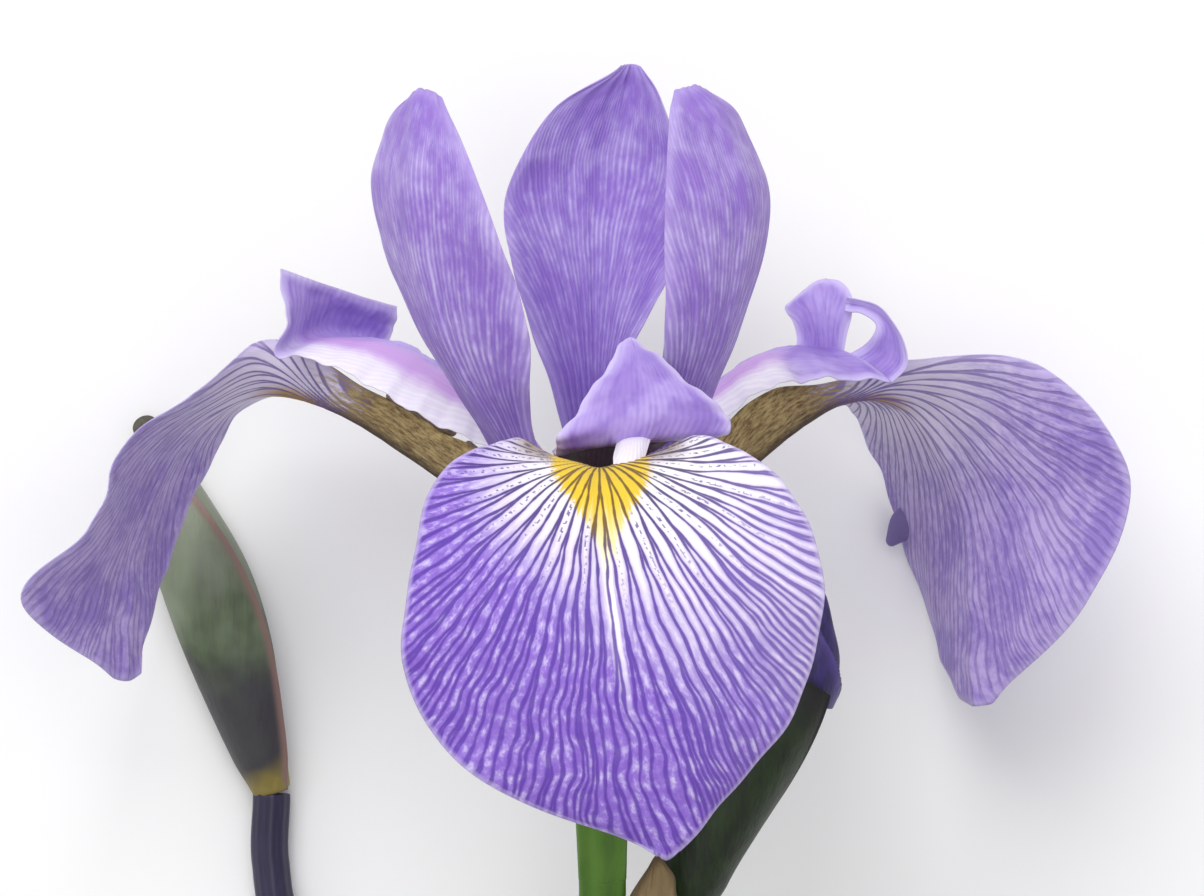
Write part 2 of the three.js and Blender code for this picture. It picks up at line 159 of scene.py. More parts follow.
STANDARDS = {
    "left": Rails(
        edge_a=(
            (-3.6, -10.2, 0.5), (-6.2, -4, 0.6), (-9.6, 1, 0.5), (-14.6, 9.5, 1.5), (-19.2, 20, 3.5),
            (-18.2, 26.6, 5), (-16.1, 29.5, 8.2),
        ),
        midrib=(
            (-3.1, -10.6, 1.8), (-4.8, -4.5, 3.5), (-8.2, 1, 5.5), (-13.2, 9.8, 9), (-15.6, 20, 11),
            (-15.3, 26.8, 10.5), (-14.6, 30.1, 9.3),
        ),
        edge_b=(
            (-2.2, -10.2, 2.9), (-3.6, -4, 6), (-5.8, 2, 9), (-5.9, 9.5, 13.5), (-8.9, 19, 15),
            (-11.6, 26, 13), (-13.1, 29.4, 10.2),
        ),
    ),
    "back": Rails(
        edge_a=(
            (-1.4, -10.2, -3.3), (-2.4, -3, -4), (-4.3, 6, -7), (-7.3, 14.5, -8.5), (-8, 22, -9.5),
            (-4.2, 29.4, -10.5), (1.8, 33.2, -11.3),
        ),
        midrib=(
            (0, -10.6, -3.6), (-0.4, -3, -5), (-0.3, 6, -8.5), (0, 15, -11), (0.6, 24, -12.5),
            (1.8, 30.5, -12), (2.6, 33.4, -11.5),
        ),
        edge_b=(
            (1.4, -10.2, -3.3), (1.8, -3, -4), (2.4, 7, -7), (5.6, 14.5, -8.5), (8.2, 22, -9.5),
            (5.2, 30, -10.5), (3.4, 33.2, -11.3),
        ),
    ),
    "right": Rails(
        edge_a=(
            (2.2, -10.2, 2.9), (3.2, -4, 6), (4.6, 4, 9.5), (5.4, 11, 13.5), (5.4, 20, 14.5),
            (5.7, 27, 13), (6.3, 30.2, 10),
        ),
        midrib=(
            (3.1, -10.6, 1.8), (4.6, -4.5, 3.5), (7.6, 3, 6), (10.8, 11, 9), (12.4, 20, 10.5),
            (10.4, 27, 9.5), (7.6, 30.4, 9),
        ),
        edge_b=(
            (3.6, -10.2, 0.5), (5.8, -4, 0.6), (8.8, 3.5, 0.5), (12, 11.5, 1), (14, 21, 2.5),
            (11.8, 28, 5), (8.6, 30.3, 8.2),
        ),
    ),
}

BRACTS = {
    "spathe_front": Rails(
        edge_a=(
            (-2.9, -56.4, -16.4), (-2.8, -49, -8.8), (0.2, -43, -2.2), (2.6, -38, -0.4),
            (4.6, -34.8, -2),
        ),
        midrib=(
            (1.4, -56.6, -13.6), (1.8, -49, -7.4), (3.4, -43, -2.2), (4.4, -38, -1.6),
            (5, -34.6, -2.4),
        ),
        edge_b=(
            (5.6, -56.2, -14.6), (7.8, -49, -8.8), (8, -43, -6), (6.6, -38, -4.4), (5.5, -34.9, -3),
        ),
    ),
    "spathe_back": Rails(
        edge_a=(
            (-3.4, -54.6, -17.6), (-3.2, -50, -12.6), (-2.6, -44, -8.4), (-1, -40, -6.6),
        ),
        midrib=(
            (1.4, -53.6, -20.8), (2.2, -50, -17.4), (1.8, -44, -13), (0.8, -39, -8.8),
        ),
        edge_b=(
            (6, -54.4, -20.4), (6.8, -50, -17), (4.4, -44, -14.2), (2.2, -39.6, -9.8),
        ),
    ),
    "branch_bract": Rails(
        edge_a=(
            (-3.2, -71, -26.2), (-6.6, -66.8, -27.2), (-11, -63.4, -29.8), (-15.2, -60, -32.2),
        ),
        midrib=(
            (-4, -71.8, -29), (-7.4, -68, -30.6), (-11.8, -64.6, -32.4), (-15.6, -60.8, -33.4),
        ),
        edge_b=(
            (-3.2, -71, -31.6), (-6.6, -66.8, -33.4), (-11.4, -63, -34.4), (-15.4, -60, -34.2),
        ),
    ),
}

STYLES = {
    "front": (
        Rails(
            edge_a=(
                (-0.9, -8.6, 1.2), (-2.2, -3.4, 6), (-3.2, -1.2, 10.5), (-3.8, -0.4, 14.5),
                (-3.6, -0.1, 18), (-3.4, 1.2, 19), (-1.6, 3.6, 18.6), (0.4, 6.6, 17.4),
                (2.2, 9.1, 15.8),
            ),
            midrib=(
                (0, -8, 0.9), (0, -1.6, 5), (0.3, 1.2, 10), (0.9, 1.6, 15), (2.4, 0.6, 18.8),
                (3.2, 2.4, 19.8), (3.2, 4.8, 19), (3, 7.2, 17.6), (2.6, 9.3, 16),
            ),
            edge_b=(
                (0.9, -8.6, 1.2), (2.2, -3.4, 6), (3.6, -0.8, 10.5), (6, 0.6, 14), (10, 1.2, 17),
                (10.7, 2.6, 17.5), (8.6, 4.6, 17.6), (5.4, 7.2, 16.8), (3, 9.1, 15.8),
            ),
        ),
        Rails(
            edge_a=((1.5, 0.8, 18.2), (1.3, 0.2, 20.5), (1.1, -0.7, 22.8), (1.2, -1.8, 24.6)),
            midrib=((2.8, 1.1, 18.8), (2.6, 0.5, 21.2), (2.4, -0.6, 23.4), (2, -2.1, 25.1)),
            edge_b=((4.3, 1.2, 18), (4, 0.4, 20.6), (3.6, -0.7, 22.8), (2.8, -1.9, 24.7)),
        ),
    ),
    "left": (
        Rails(
            edge_a=(
                (-1.5, -8.6, 0.2), (-6.8, -1.4, -1.2), (-14.6, 2.5, -3.8), (-20.4, 5.9, -6.2),
                (-24.6, 7.8, -7.4), (-27.8, 8.1, -7.2), (-27.2, 10.2, -7.4), (-27.1, 12.6, -8),
                (-27.6, 15.6, -8.8),
            ),
            midrib=(
                (-0.8, -8, -0.5), (-6.4, 1.4, -4), (-12.4, 6, -8.6), (-17.4, 9, -12),
                (-20.8, 9.6, -13.4), (-23.6, 9.9, -14), (-24.2, 11, -14), (-23.4, 12.6, -13.8),
                (-22.6, 14, -13.4),
            ),
            edge_b=(
                (-0.6, -8.6, -1.4), (-4.8, -0.8, -5.6), (-11.4, 3.8, -11.4), (-15.6, 7.4, -15),
                (-17.4, 8.4, -16.8), (-18.8, 8.8, -18), (-18.3, 10, -18.2), (-17.9, 11.2, -18.2),
                (-17.9, 12.6, -18),
            ),
        ),
    ),
    "right": (
        Rails(
            edge_a=(
                (1.5, -8.6, 0.2), (6.8, -1, -0.9), (13.4, 4.8, -3.5), (18.2, 6, -5.6), (22, 6.1, -7),
                (25.1, 5.8, -7.6),
            ),
            midrib=(
                (0.8, -8, -0.5), (6.2, 1.6, -4), (11.6, 7, -8), (15.8, 8.8, -11), (19, 8.8, -12),
                (21.2, 8.6, -11.8),
            ),
            edge_b=(
                (0.6, -8.6, -1.4), (4.8, -0.6, -5.6), (11.2, 4.4, -11), (14.6, 6.6, -14),
                (16.6, 7.8, -15), (17.6, 8.6, -14.6),
            ),
        ),
        Rails(
            edge_a=(
                (17, 8.6, -12.8), (17.1, 9.8, -13), (16.8, 11.1, -13.4), (16.1, 12.3, -14),
                (16.8, 13.1, -14.2), (18.2, 14.3, -13.8),
            ),
            midrib=(
                (19.2, 8.2, -12.2), (19.2, 10, -12), (19, 11.6, -12), (18.8, 13, -12.6),
                (18.8, 14, -13.2), (18.9, 14.7, -13.6),
            ),
            edge_b=(
                (21.1, 8.2, -12), (21.4, 10, -11.8), (21.8, 11.6, -11.8), (21.8, 13.4, -12),
                (20.9, 14.6, -12.6), (19.6, 14.9, -13.2),
            ),
        ),
        Rails(
            edge_a=(
                (20.7, 7.9, -11), (22.6, 8.9, -10.2), (23.5, 9.8, -9.6), (23.8, 10.9, -9.6),
                (22.6, 11.8, -10), (21.2, 12, -10.9),
            ),
            midrib=(
                (23.2, 6.6, -9.6), (24.8, 8, -9.6), (25.2, 9.6, -9.4), (24.8, 11, -9.6),
                (23.4, 12.2, -10.2), (21.3, 12.7, -11.3),
            ),
            edge_b=(
                (25, 5.7, -7.7), (26.4, 7.2, -7.8), (26.2, 9.2, -8), (25.2, 11.1, -8.6),
                (23.9, 12.5, -9.4), (21.4, 13.3, -10.7),
            ),
        ),
    ),
}
STAMENS = {
    "front": (
        Route(((0, -8.2, 3.2), (0, -5.6, 6), (0.2, -3.6, 9.4)), (0.45, 0.45, 0.45)),
        Route(((0.2, -3.2, 10.4), (0.5, -1.9, 15.4)), (0.4, 0.8, 0.8, 0.48)),
    ),
    "left": (
        Route(((-3.2, -7.4, -1.8), (-7.6, -2.8, -4.4), (-11.6, 0.6, -7)), (0.45, 0.45, 0.45)),
        Route(((-12.4, 1.4, -7.5), (-18.4, 4.9, -11.2)), (0.4, 0.8, 0.8, 0.48)),
    ),
    "right": (
        Route(((3.2, -7.2, -1.8), (7.4, -2.6, -4.4), (10.6, 1.2, -6.6)), (0.45, 0.45, 0.45)),
        Route(((11.4, 2, -7.1), (16.8, 4.9, -10.4)), (0.4, 0.8, 0.8, 0.48)),
    ),
}

TUBE = Route(((0, -12, 0.4), (0, -15.5, 0.2), (0, -19, 0)), (3.6, 2.6, 2.2))
OVARY = Route(((0, -19.4, 0), (0.1, -27, -0.2), (0.2, -36, -1.6)), (2.1, 2.35, 2.1))
PEDICEL = Route(
    ((0.2, -36.5, -1.7), (0.2, -38.5, -2.4), (0.1, -42.5, -5), (0, -49, -10.6), (0, -56, -17)), (2.08, 1.9)
)
STEM = Route(
    ((0, -57, -18.2), (0, -66, -25.6), (0, -75, -30.4), (0, -84, -32.6), (0, -92, -32.9)), (2.7, 2.9)
)
RIGHT_PETALS = Route(
    ((17.6, -19.3, -8.1), (18.2, -17.2, -8), (18.5, -14.6, -7.8), (18.6, -11.5, -7.6)), (3.1, 2.95, 1.6, 0.5)
)
RIGHT_SPATHE = Route(
    ((3.4, -56.6, -17), (5.2, -48, -11.5), (7.6, -37, -8.6), (11.5, -28.6, -8.3), (17.9, -18.9, -8.1)),
    (1.3, 2.1, 2.9, 3.25, 3.4),
)
BRANCH = Route(
    (
        (-3, -67, -28.2), (-10.5, -61, -31), (-21, -52.6, -33.4), (-28, -43.4, -33.9), (-29.6, -37, -34),
        (-29.5, -31.2, -34),
    ),
    (1.7, 1.7),
)
LEFT_SPATHE = Route(
    (
        (-29.5, -30.6, -33.9), (-31, -24.8, -33), (-33, -17.4, -32.2), (-35.2, -10.8, -32.2),
        (-38, -4, -33.1), (-40.2, 0.6, -33.8),
    ),
    (1.65, 2.6, 3.5, 3.6, 2.6, 1.3),
)
LEFT_TIP = Route(((-40.4, 1.1, -34), (-41.2, 3, -34.2)), (1.2, 1))


# ---- shapes as whole arrays ------------------------------------------------------------------------------


def smooth_line(points: tuple, t: np.ndarray) -> np.ndarray:
    """Work out points of the smooth line through some points (a uniform Catmull-Rom curve).

    Args:
        points: The points that the line runs through.
        t: Where along it, from 0 to 1, with the same share of t between any two points.

    Returns:
        One point for each t.
    """
    p = np.asarray(points, float)
    p = p[:, None] if p.ndim == 1 else p
    q = np.vstack([2 * p[0] - p[1], p, 2 * p[-1] - p[-2]])
    at = np.clip(t, 0, 1) * (len(p) - 1)
    i = np.minimum(at.astype(int), len(p) - 2)
    w = (at - i)[..., None]
    a, b, c, d = q[i], q[i + 1], q[i + 2], q[i + 3]
    return 0.5 * (2 * b + (c - a) * w + (2 * a - 5 * b + 4 * c - d) * w**2 + (3 * b - a - 3 * c + d) * w**3)


def even_steps(points: tuple, count: int) -> np.ndarray:
    """Work out values of t that are evenly far apart along a smooth line.

    Args:
        points: The points that the line runs through.
        count: How many values there are.

    Returns:
        The values of t, from 0 to 1.
    """
    fine, run = measured(points)
    return np.interp(np.linspace(0, run[-1], count), run, fine)


def measured(points: tuple) -> tuple[np.ndarray, np.ndarray]:
    """Measure a smooth line: the length up to each of many small steps is the sum of the steps before it.

    Args:
        points: The points that the line runs through.

    Returns:
        The steps of t, and how far along each is.
    """
    fine = np.linspace(0, 1, FINE_STEPS)
    steps = length(np.diff(smooth_line(points, fine), axis=0))
    return fine, np.concatenate([[0], np.cumsum(steps)])


def crowded(count: int) -> np.ndarray:
    """Give `count` shares across, from -1 to 1, that lie closer towards both ends: sin(x) / sin(CROWD)."""
    return np.sin(np.linspace(-CROWD, CROWD, count)) / np.sin(CROWD)


def axes_of(path: tuple, t: np.ndarray, step: float) -> tuple[np.ndarray, np.ndarray, np.ndarray]:
    """Work out which way a smooth line runs, and which ways are up and out from it.

    Along is from t - step to t + step. Up is Z less its share along: (0, 0, 1) - along times along z. Out
    is along x up.

    Args:
        path: The points that the line runs through.
        t: Where along it, from 0 to 1.
        step: How far to look to either side, in t.

    Returns:
        The unit vectors along, up and out, at each t.
    """
    along = unit(smooth_line(path, t + step) - smooth_line(path, t - step))
    up = unit(np.array([0.0, 0.0, 1.0]) - along * along[:, 2:3])
    return along, up, np.cross(along, up)


def length(vectors: np.ndarray) -> np.ndarray:
    """Give the length of each vector in the last axis."""
    return np.sqrt((vectors**2).sum(-1))


def unit(vectors: np.ndarray) -> np.ndarray:
    """Give each vector in the last axis a length of 1."""
    return vectors / np.maximum(length(vectors), 1e-9)[..., None]


def ease(x: np.ndarray, low: float, high: float) -> np.ndarray:
    """Rise smoothly from 0 at `low` to 1 at `high`: 3 t squared - 2 t cubed."""
    t = np.clip((np.asarray(x, float) - low) / (high - low), 0, 1)
    return t * t * (3 - 2 * t)


def normals_of(points: np.ndarray) -> np.ndarray:
    """Give the unit normal of a grid surface, along x across, at each point."""
    return unit(np.cross(np.gradient(points, axis=0), np.gradient(points, axis=1)))


def margin_of(points: np.ndarray) -> np.ndarray:
    """Measure how far each point of a petal's grid is from its two edges and its tip, by the nearest one.

    Args:
        points: The surface's points, as rows and columns.

    Returns:
        The distances in millimetres, as rows and columns.
    """
    rim = np.concatenate([points[:, 0], points[:, -1], points[-1]])
    flat = points.reshape(-1, 3)
    best = np.full(len(flat), np.inf)
    parts = 24  # the rim goes in parts, so that the table of distances stays small
    for share in np.array_split(rim, parts):
        best = np.minimum(best, length(flat[:, None] - share[None]).min(1))
    return best.reshape(points.shape[:2])


@dataclass
class Skin:
    """A closed mesh in the making.

    `faces` index the points, and `corners`, of the same shape, index the rows of `maps`.
    """

    points: np.ndarray
    faces: list[np.ndarray]
    corners: list[np.ndarray]
    maps: dict[str, np.ndarray]
    marks: dict[str, np.ndarray] = field(default_factory=dict)

    @staticmethod
    def joined(skins: list[Skin]) -> Skin:
        """Put several skins that read the same maps and marks into one.

        Args:
            skins: The skins.

        Returns:
            One skin that holds them all.
        """
        starts = np.cumsum([0] + [len(s.points) for s in skins])
        firsts = np.cumsum([0] + [len(next(iter(s.maps.values()))) for s in skins])
        return Skin(
            np.concatenate([s.points for s in skins]),
            [f + n for s, n in zip(skins, starts) for f in s.faces],
            [c + n for s, n in zip(skins, firsts) for c in s.corners],
            {k: np.concatenate([s.maps[k] for s in skins]) for k in skins[0].maps},
            {k: np.concatenate([s.marks[k] for s in skins]) for k in skins[0].marks},
        )

    def place(self, name: str, material: bpy.types.Material) -> bpy.types.Object:
        """Make the mesh and its object, moved from the flower's frame to the row frame.

        Args:
            name: The piece's name.
            material: What it is dressed in.

        Returns:
            The object, at the origin.
        """
        mesh = bpy.data.meshes.new(name)
        placed = (self.points + np.array([*ORIGIN_SHIFT, AXIS_HEIGHT])) * MM
        mesh.from_pydata(placed.tolist(), [], [face for block in self.faces for face in block.tolist()])
        corners = np.concatenate([block.ravel() for block in self.corners])
        for key, rows in self.maps.items():
            mesh.uv_layers.new(name=key).data.foreach_set("uv", rows[corners].astype(np.float32).ravel())
        for key, values in self.marks.items():
            mesh.attributes.new(key, "FLOAT", "POINT").data.foreach_set("value", values.astype(np.float32))
        mesh.shade_smooth()
        mesh.materials.append(material)
        piece = bpy.data.objects.new(name, mesh)
        bpy.context.scene.collection.objects.link(piece)
        return piece


def wall(
    points: np.ndarray, offset: np.ndarray, half: np.ndarray, maps: dict[str, np.ndarray],
    marks: dict[str, np.ndarray], upper: int,
) -> Skin:
    """Make a thin wall, closed all round, on a grid surface.

    The front stands `offset + half` off the surface along its normal, the back `offset - half`.

    Args:
        points: The surface's points, as rows and columns.
        offset: How far the wall's middle is off the surface.
        half: Half the wall.
        maps: Two numbers for each point, for the finish.
        marks: One number for each point, for the finish.
        upper: 1 where the front is the petal's upper face, and -1 where it is the lower one.

    Returns:
        The wall, which also holds the mark "upper", 1 on the upper face and 0 on the lower.
    """
    rows, columns = points.shape[:2]
    normal = normals_of(points)
    front = (points + normal * (offset + half)[..., None]).reshape(-1, 3)
    back = (points + normal * (offset - half)[..., None]).reshape(-1, 3)
    count = rows * columns
    at = np.arange(count).reshape(rows, columns)
    quads = np.stack([at[:-1, :-1], at[1:, :-1], at[1:, 1:], at[:-1, 1:]], -1).reshape(-1, 4)
    rim = np.concatenate([at[:-1, 0], at[-1, :-1], at[:0:-1, -1], at[0, :0:-1]])
    after = np.roll(rim, -1)
    edge = np.stack([rim, rim + count, after + count, after], -1)
    faces = [quads, quads[:, ::-1] + count, edge]
    both = {k: np.tile(m.reshape(-1, 2), (2, 1)) for k, m in maps.items()}
    held = {k: np.tile(m.ravel(), 2) for k, m in marks.items()}
    held["upper"] = np.repeat([1.0, 0.0] if upper > 0 else [0.0, 1.0], count)
    return Skin(np.concatenate([front, back]), faces, faces, both, held)


def tube(
    route: Route, rings: int, sides: int, shape: Shape | None, ends: tuple[float, float] = (0.4, 0.4),
    stretch: tuple[float, float] = (0.0, 0.0),
) -> Skin:
    """Carry a round profile along a route, and close its ends.

    The profile's radius is the route's radius times shape(t, turn), and it rounds over at each end: times
    the root of 1 - (1 - distance / end) squared.

    Args:
        route: The middle line and its radii.
        rings: The number of rings along it.
        sides: The number of points round it.
        shape: A function of the share along and the share of a turn, or None for a plain round one.
        ends: The length over which each end rounds, in millimetres.
        stretch: How far it runs on straight past each end, in millimetres, to meet its neighbour.

    Returns:
        The closed tube, with a map "skin" of turns and millimetres along.
    """
    fine, run = measured(route.path)
    whole = run[-1] + sum(stretch)
    rounding = 1 - np.cos(np.linspace(0.05, 1.4, END_RINGS))
    steps = np.sort(np.concatenate([
        np.linspace(0, whole, rings - 2 * END_RINGS), ends[0] * rounding, whole - ends[1] * rounding,
    ]))
    held = np.clip(steps - stretch[0], 0, run[-1])
    t = np.interp(held, run, fine)
    share = steps / whole
    along, up, out = axes_of(route.path, t, step=1e-3)
    centre = smooth_line(route.path, t) + along * (steps - stretch[0] - held)[:, None]
    close = [np.clip(d / max(e, 1e-6), 0, 1) for d, e in ((steps, ends[0]), (whole - steps, ends[1]))]
    round_over = np.sqrt(1 - (1 - close[0]) ** 2) * np.sqrt(1 - (1 - close[1]) ** 2)
    radius = smooth_line(route.radii, share)[:, 0] * np.maximum(round_over, 0.02)
    turn = np.arange(sides) / sides
    angle = 2 * np.pi * turn[None, :, None]
    scale = np.ones((len(steps), sides)) if shape is None else shape(share[:, None], turn[None])
    spoke = up[:, None] * np.cos(angle) + out[:, None] * np.sin(angle)
    ring = centre[:, None] + spoke * (radius[:, None] * scale)[..., None]
    count = len(steps) * sides
    row = np.arange(len(steps) - 1)[:, None]
    column = np.arange(sides)[None]
    after = (column + 1) % sides
    low, high = row * sides, (row + 1) * sides
    quads = np.stack([low + column, low + after, high + after, high + column], -1).reshape(-1, 4)
    wide = sides + 1
    low, high = row * wide, (row + 1) * wide
    corners = np.stack([low + column, low + column + 1, high + column + 1, high + column], -1).reshape(-1, 4)
    c, d = column[0], after[0]
    last = count - sides
    caps = [
        np.stack([np.full(sides, count), d, c], -1),
        np.stack([np.full(sides, count + 1), last + c, last + d], -1),
    ]
    top = len(steps) * wide - wide
    cap_corners = [np.stack([c, c + 1, c], -1), np.stack([top + c, top + c, top + c + 1], -1)]
    skin_map = np.stack(np.meshgrid(np.arange(wide) / sides, steps), -1).reshape(-1, 2)
    points = np.concatenate([ring.reshape(-1, 3), centre[:1], centre[-1:]])
    return Skin(points, [quads, *caps], [corners, *cap_corners], {"skin": skin_map})


# ---- finishes --------------------------------------------------------------------------------------------


def tint(code: str) -> tuple[float, float, float, float]:
    """Turn an sRGB hex colour to the linear one that a shader takes.

    Args:
        code: The colour, as # and six hex digits.

    Returns:
        Red, green, blue and a full alpha.
    """
    srgb = np.array([int(code[i : i + 2], 16) for i in (1, 3, 5)]) / 255
    linear = np.where(srgb <= 0.04045, srgb / 12.92, ((srgb + 0.055) / 1.055) ** 2.4)
    return (*(float(x) for x in linear), 1.0)


class Tree:
    """The node tree of one material, round one Principled shader."""

    def __init__(
        self, name: str, roughness: float, ior: float, glow: float = 0.0, sheen: float = 0.0
    ) -> None:
        """Start a material.

        Args:
            name: The material's name.
            roughness: The surface's roughness.
            ior: The index of refraction.
            glow: How much light goes in and comes out again nearby, from 0 to 1.
            sheen: How much soft light the surface's fine hairs or cells send back at its edges.
        """
        self.material = bpy.data.materials.new(name)
        self.material.use_nodes = True
        self.nodes = self.material.node_tree.nodes
        self.nodes.clear()
        shader = self.add(
            "BsdfPrincipled",
            {
                "Roughness": roughness, "IOR": ior, "Subsurface Weight": glow, "Sheen Weight": sheen,
                "Subsurface Scale": 0.6 * MM, "Subsurface Radius": (1.0, 0.7, 1.0), "Sheen Roughness": 0.5,
            },
        )
        self.shader = shader.node
        self.add("OutputMaterial", {0: shader})

    def add(
        self, kind: str, links: dict | None = None, out: int | str = 0, **settings: object
    ) -> Socket | None:
        """Add a node with its settings and links.

        Args:
            kind: The node's type, without its first word.
            links: A value or another node's output for each input, by name or number.
            out: Which output to give back.
            settings: The node's own settings.

        Returns:
            The output, or None for a node that has none.
        """
        node = self.nodes.new("ShaderNode" + kind)
        for key, value in settings.items():
            setattr(node, key, value)
        for key, value in (links or {}).items():
            if isinstance(value, Socket):
                self.material.node_tree.links.new(value, node.inputs[key])
            else:
                node.inputs[key].default_value = value
        return node.outputs[out] if len(node.outputs) else None

    def dress(self, color: Socket, height: Socket, distance_mm: float) -> bpy.types.Material:
        """Join the colour, and a height in bumps of `distance_mm`, to the shader.

        Args:
            color: The output that holds the colour.
            height: The output that holds the height, from 0 to 1.
            distance_mm: How high a bump of 1 is.

        Returns:
            The finished material.
        """
        link = self.material.node_tree.links.new
        link(color, self.shader.inputs["Base Color"])
        bump = self.add("Bump", {"Height": height, "Distance": distance_mm * MM, "Strength": 1.0})
        link(bump, self.shader.inputs["Normal"])
        return self.material


@dataclass(frozen=True)
class Fork:
    """Where the veins part in two: from this far out, within this much scatter, opening over this run."""

    start: float
    scatter: float
    run: float


class Net(NamedTuple):
    """What a net of veins gives a finish, each an output of a node."""

    mask: Socket  # 1 on a vein
    x: Socket  # the vein's number, with its wander
    r: Socket  # how far out, in millimetres
    cell: Socket  # the nearest main vein's whole number
    away: Socket  # millimetres from the nearest vein
    between: Socket  # millimetres from the line midway between two main veins


@dataclass(frozen=True)
class Veins:
    """A net of veins that part in two as they run out, drawn from the map "fan" and the mark "pitch".

    Fan x counts veins across the petal and fan y is how far out a point is, in millimetres. The distance
    from the nearest vein starts as |x - round(x)|. Each fork then takes an opening from it, which grows
    from 0 at the fork to a quarter, an eighth and so on, and drops its sign, so that one vein turns to two.
    """

    forks: tuple[Fork, ...]
    half_width: tuple[float, float]  # millimetres, near the throat and far out
    softness: tuple[float, float]  # millimetres of blur, near and far
    reach: float  # how far out "far" is, in millimetres
    wander: float = 0.35  # how far a vein strays, in veins
    wander_mm: float = 8.0  # the length of a stray
    beads: float = 0.6  # how many times a vein swells and thins in a millimetre

    def draw(self, t: Tree) -> Net:
        """Draw the veins.

        Args:
            t: The tree to draw in.

        Returns:
            The net of veins.
        """
        fan = t.add("UVMap", uv_map="fan")
        blade = t.add("UVMap", uv_map="blade")
        pitch = t.add("Attribute", out="Fac", attribute_name="pitch")
        x = t.add("SeparateXYZ", {0: fan})
        r = x.node.outputs[1]
        drift = t.add(
            "TexNoise", {"Vector": blade, "Scale": 1 / self.wander_mm, "Detail": 2.0, "Roughness": 0.45}
        )
        x = t.add("Math", {0: drift, 1: self.wander, 2: x}, operation="MULTIPLY_ADD")
        cell = t.add("Math", {0: x}, operation="ROUND")
        apart = t.add("Math", {0: x, 1: cell}, operation="SUBTRACT")
        aside = t.add("Math", {0: apart}, operation="ABSOLUTE")
        between = t.add("Math", {0: 0.5, 1: aside}, operation="SUBTRACT")
        between = t.add("Math", {0: between, 1: pitch}, operation="MULTIPLY")
        code, opening = cell, 0.5
        for fork in self.forks:
            opening /= 2
            luck = t.add("TexWhiteNoise", {"W": code}, noise_dimensions="1D")
            late = t.add("Math", {0: luck, 1: -fork.scatter, 2: r}, operation="MULTIPLY_ADD")
            stop = fork.start + fork.run
            gap = t.add("MapRange", {0: late, 1: fork.start, 2: stop, 3: 0.0, 4: opening}, **SMOOTH)
            side = t.add("Math", {0: apart}, operation="SIGN")
            code = t.add("Math", {0: code, 1: 2.7, 2: side}, operation="MULTIPLY_ADD")
            size = t.add("Math", {0: apart}, operation="ABSOLUTE")
            apart = t.add("Math", {0: size, 1: gap}, operation="SUBTRACT")
        apart = t.add("Math", {0: apart}, operation="ABSOLUTE")
        away = t.add("Math", {0: apart, 1: pitch}, operation="MULTIPLY")
        half = t.add("MapRange", {0: r, 1: 1.0, 2: self.reach, 3: self.half_width[0], 4: self.half_width[1]})
        soft = t.add("MapRange", {0: r, 1: 1.0, 2: self.reach, 3: self.softness[0], 4: self.softness[1]})
        beads = t.add("TexNoise", {"Vector": blade, "Scale": self.beads, "Detail": 2.0})
        swell = t.add("MapRange", {0: beads, 1: 0.3, 2: 0.7, 3: 0.65, 4: 1.35})
        half = t.add("Math", {0: half, 1: swell}, operation="MULTIPLY")
        inner = t.add("Math", {0: half, 1: soft}, operation="SUBTRACT")
        outer = t.add("Math", {0: half, 1: soft}, operation="ADD")
        mask = t.add("MapRange", {0: away, 1: outer, 2: inner, 3: 0.0, 4: 1.0}, **SMOOTH)
        return Net(mask, x, r, cell, away, between)


